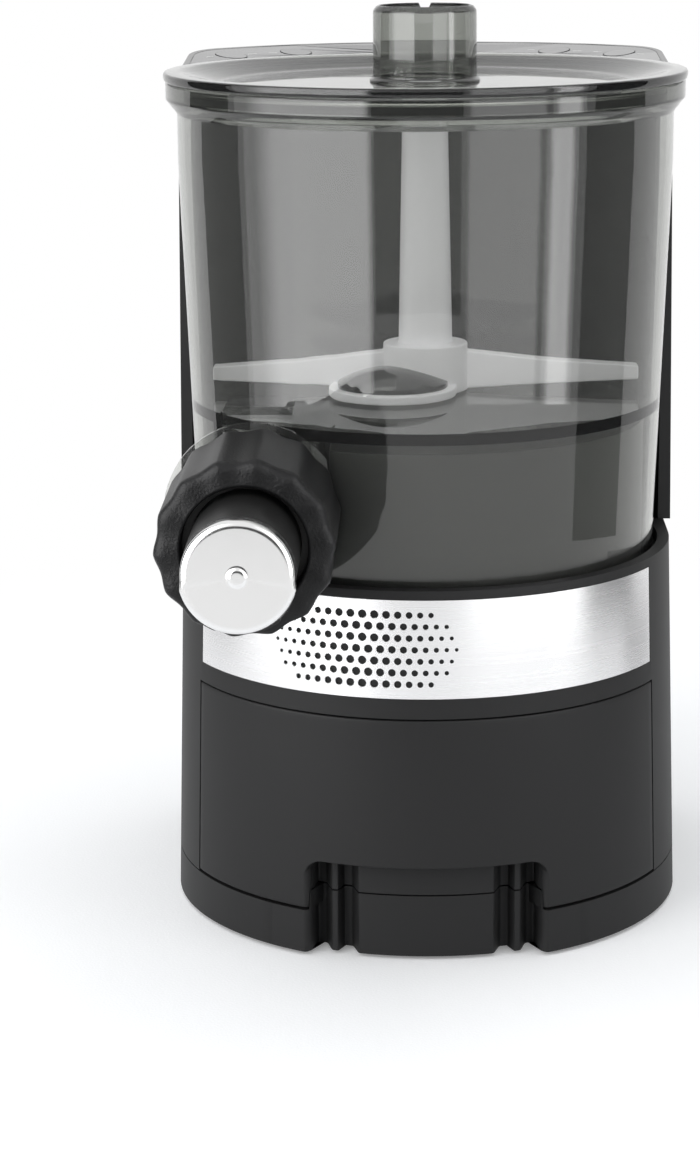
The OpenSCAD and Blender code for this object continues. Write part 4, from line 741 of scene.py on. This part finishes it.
die_black = moulded("die_black", (0.008, 0.008, 0.008), 0.38, shine=0.4)
eased("die_body", 0.4 * MM, die_black, "die", "die_black")
cap_front, cap_back = cap_low[1] / MM, cap_high[1] / MM
LIP = 0.9                     # how far the rolled edge stands out


def rolled_lip(r, h, t):
    """Widens the cap below: between 196 and 344 degrees its rim stands further out, and eases
    back over 12 degrees at either end by a smooth step."""
    turn = np.degrees(t) % 360
    low_half = ramp(184, 196, turn) * ramp(356, 344, turn)
    outer = np.clip((r - 15) / 4, 0, 1)
    return r + LIP * low_half * outer, h + LIP / 3 * low_half * (r > 15) * (h < cap_front + 4)


cap_shape = rounded([(0.02, cap_back, 0.01), (CAP_R, cap_back, 0.3), (CAP_R, cap_front + 0.8, 2.8),
                     (3.6, cap_front + 0.8, 0.9), (2.6, cap_front, 1.2), (0.02, cap_front, 0.01)], steps=9)
cap_steel = metal("cap_steel", (0.80, 0.80, 0.80), 0.17, (1, 1, 1), grain=220, depth=0.000002)
rides(turned_piece("drawn_die_cap", cap_steel, cap_shape, 192, rolled_lip, "y", (die_x, die_z), 40),
      "die", "polished_steel", "die_cap")
finish(["die_plate"], cap_steel)

# ---- seals, shafts and gears --------------------------------------------------------------------
# Soft black rubber seals the lid and the shafts and carries the machine. Ground steel shafts turn
# in bronze bushes between zinc plates, and the gears are white acetal.

seals = moulded("seal_rubber", (0.018, 0.018, 0.018), 0.7, depth=0.00008)
finish(["rubber_feet", "lid_gasket", "spindle_seals", "cord_gland"], seals)
shafts = metal("shaft_steel", (0.62, 0.62, 0.63), 0.25, (1, 4, 4))
finish(["motor_shaft", "counter_shaft", "main_shaft", "auger_drive_shaft", "paddle_drive_shaft",
        "paddle_spindle", "auger_spindle"], shafts)
zinc = metal("zinc_plate", (0.6, 0.62, 0.64), 0.42, grain=120)
finish(["gear_plate_front", "gear_plate_middle", "motor_plate", "shaft_bracket", "frame_bolts",
        "housing_screws"], zinc)
finish(["shaft_bushes"], metal("bush_bronze", (0.6, 0.4, 0.2), 0.5))
finish(["motor_pinion"], metal("pinion_brass", (0.75, 0.58, 0.3), 0.25))
finish(["reduction_gear", "main_gear", "transfer_gear", "crown_pinion", "idler_gear", "auger_gear",
        "crown_gear"], moulded("gear_acetal", (0.8, 0.78, 0.7), 0.4, depth=0.00001))

# ---- motor and electrics ------------------------------------------------------------------------
# The motor is a drawn steel can with a black end bell and fan. Green boards carry the switches and
# the mains parts, and red covered wires join them.

finish(["motor_can"], metal("motor_steel", (0.45, 0.45, 0.46), 0.35))
finish(["motor_end_bell", "cooling_fan"], moulded("motor_black", (0.02, 0.02, 0.02), 0.5))
board_green = moulded("board_green", (0.03, 0.2, 0.08), 0.35)
finish(["power_board", "reed_sensor"], board_green)
eased("control_board", 0, board_green, "housing", "board_green", shape=sloped)
finish(["wiring_loom"], moulded("wire_pvc", (0.5, 0.06, 0.04), 0.4))
finish(["lid_magnet"], metal("magnet_nickel", (0.6, 0.6, 0.58), 0.2))
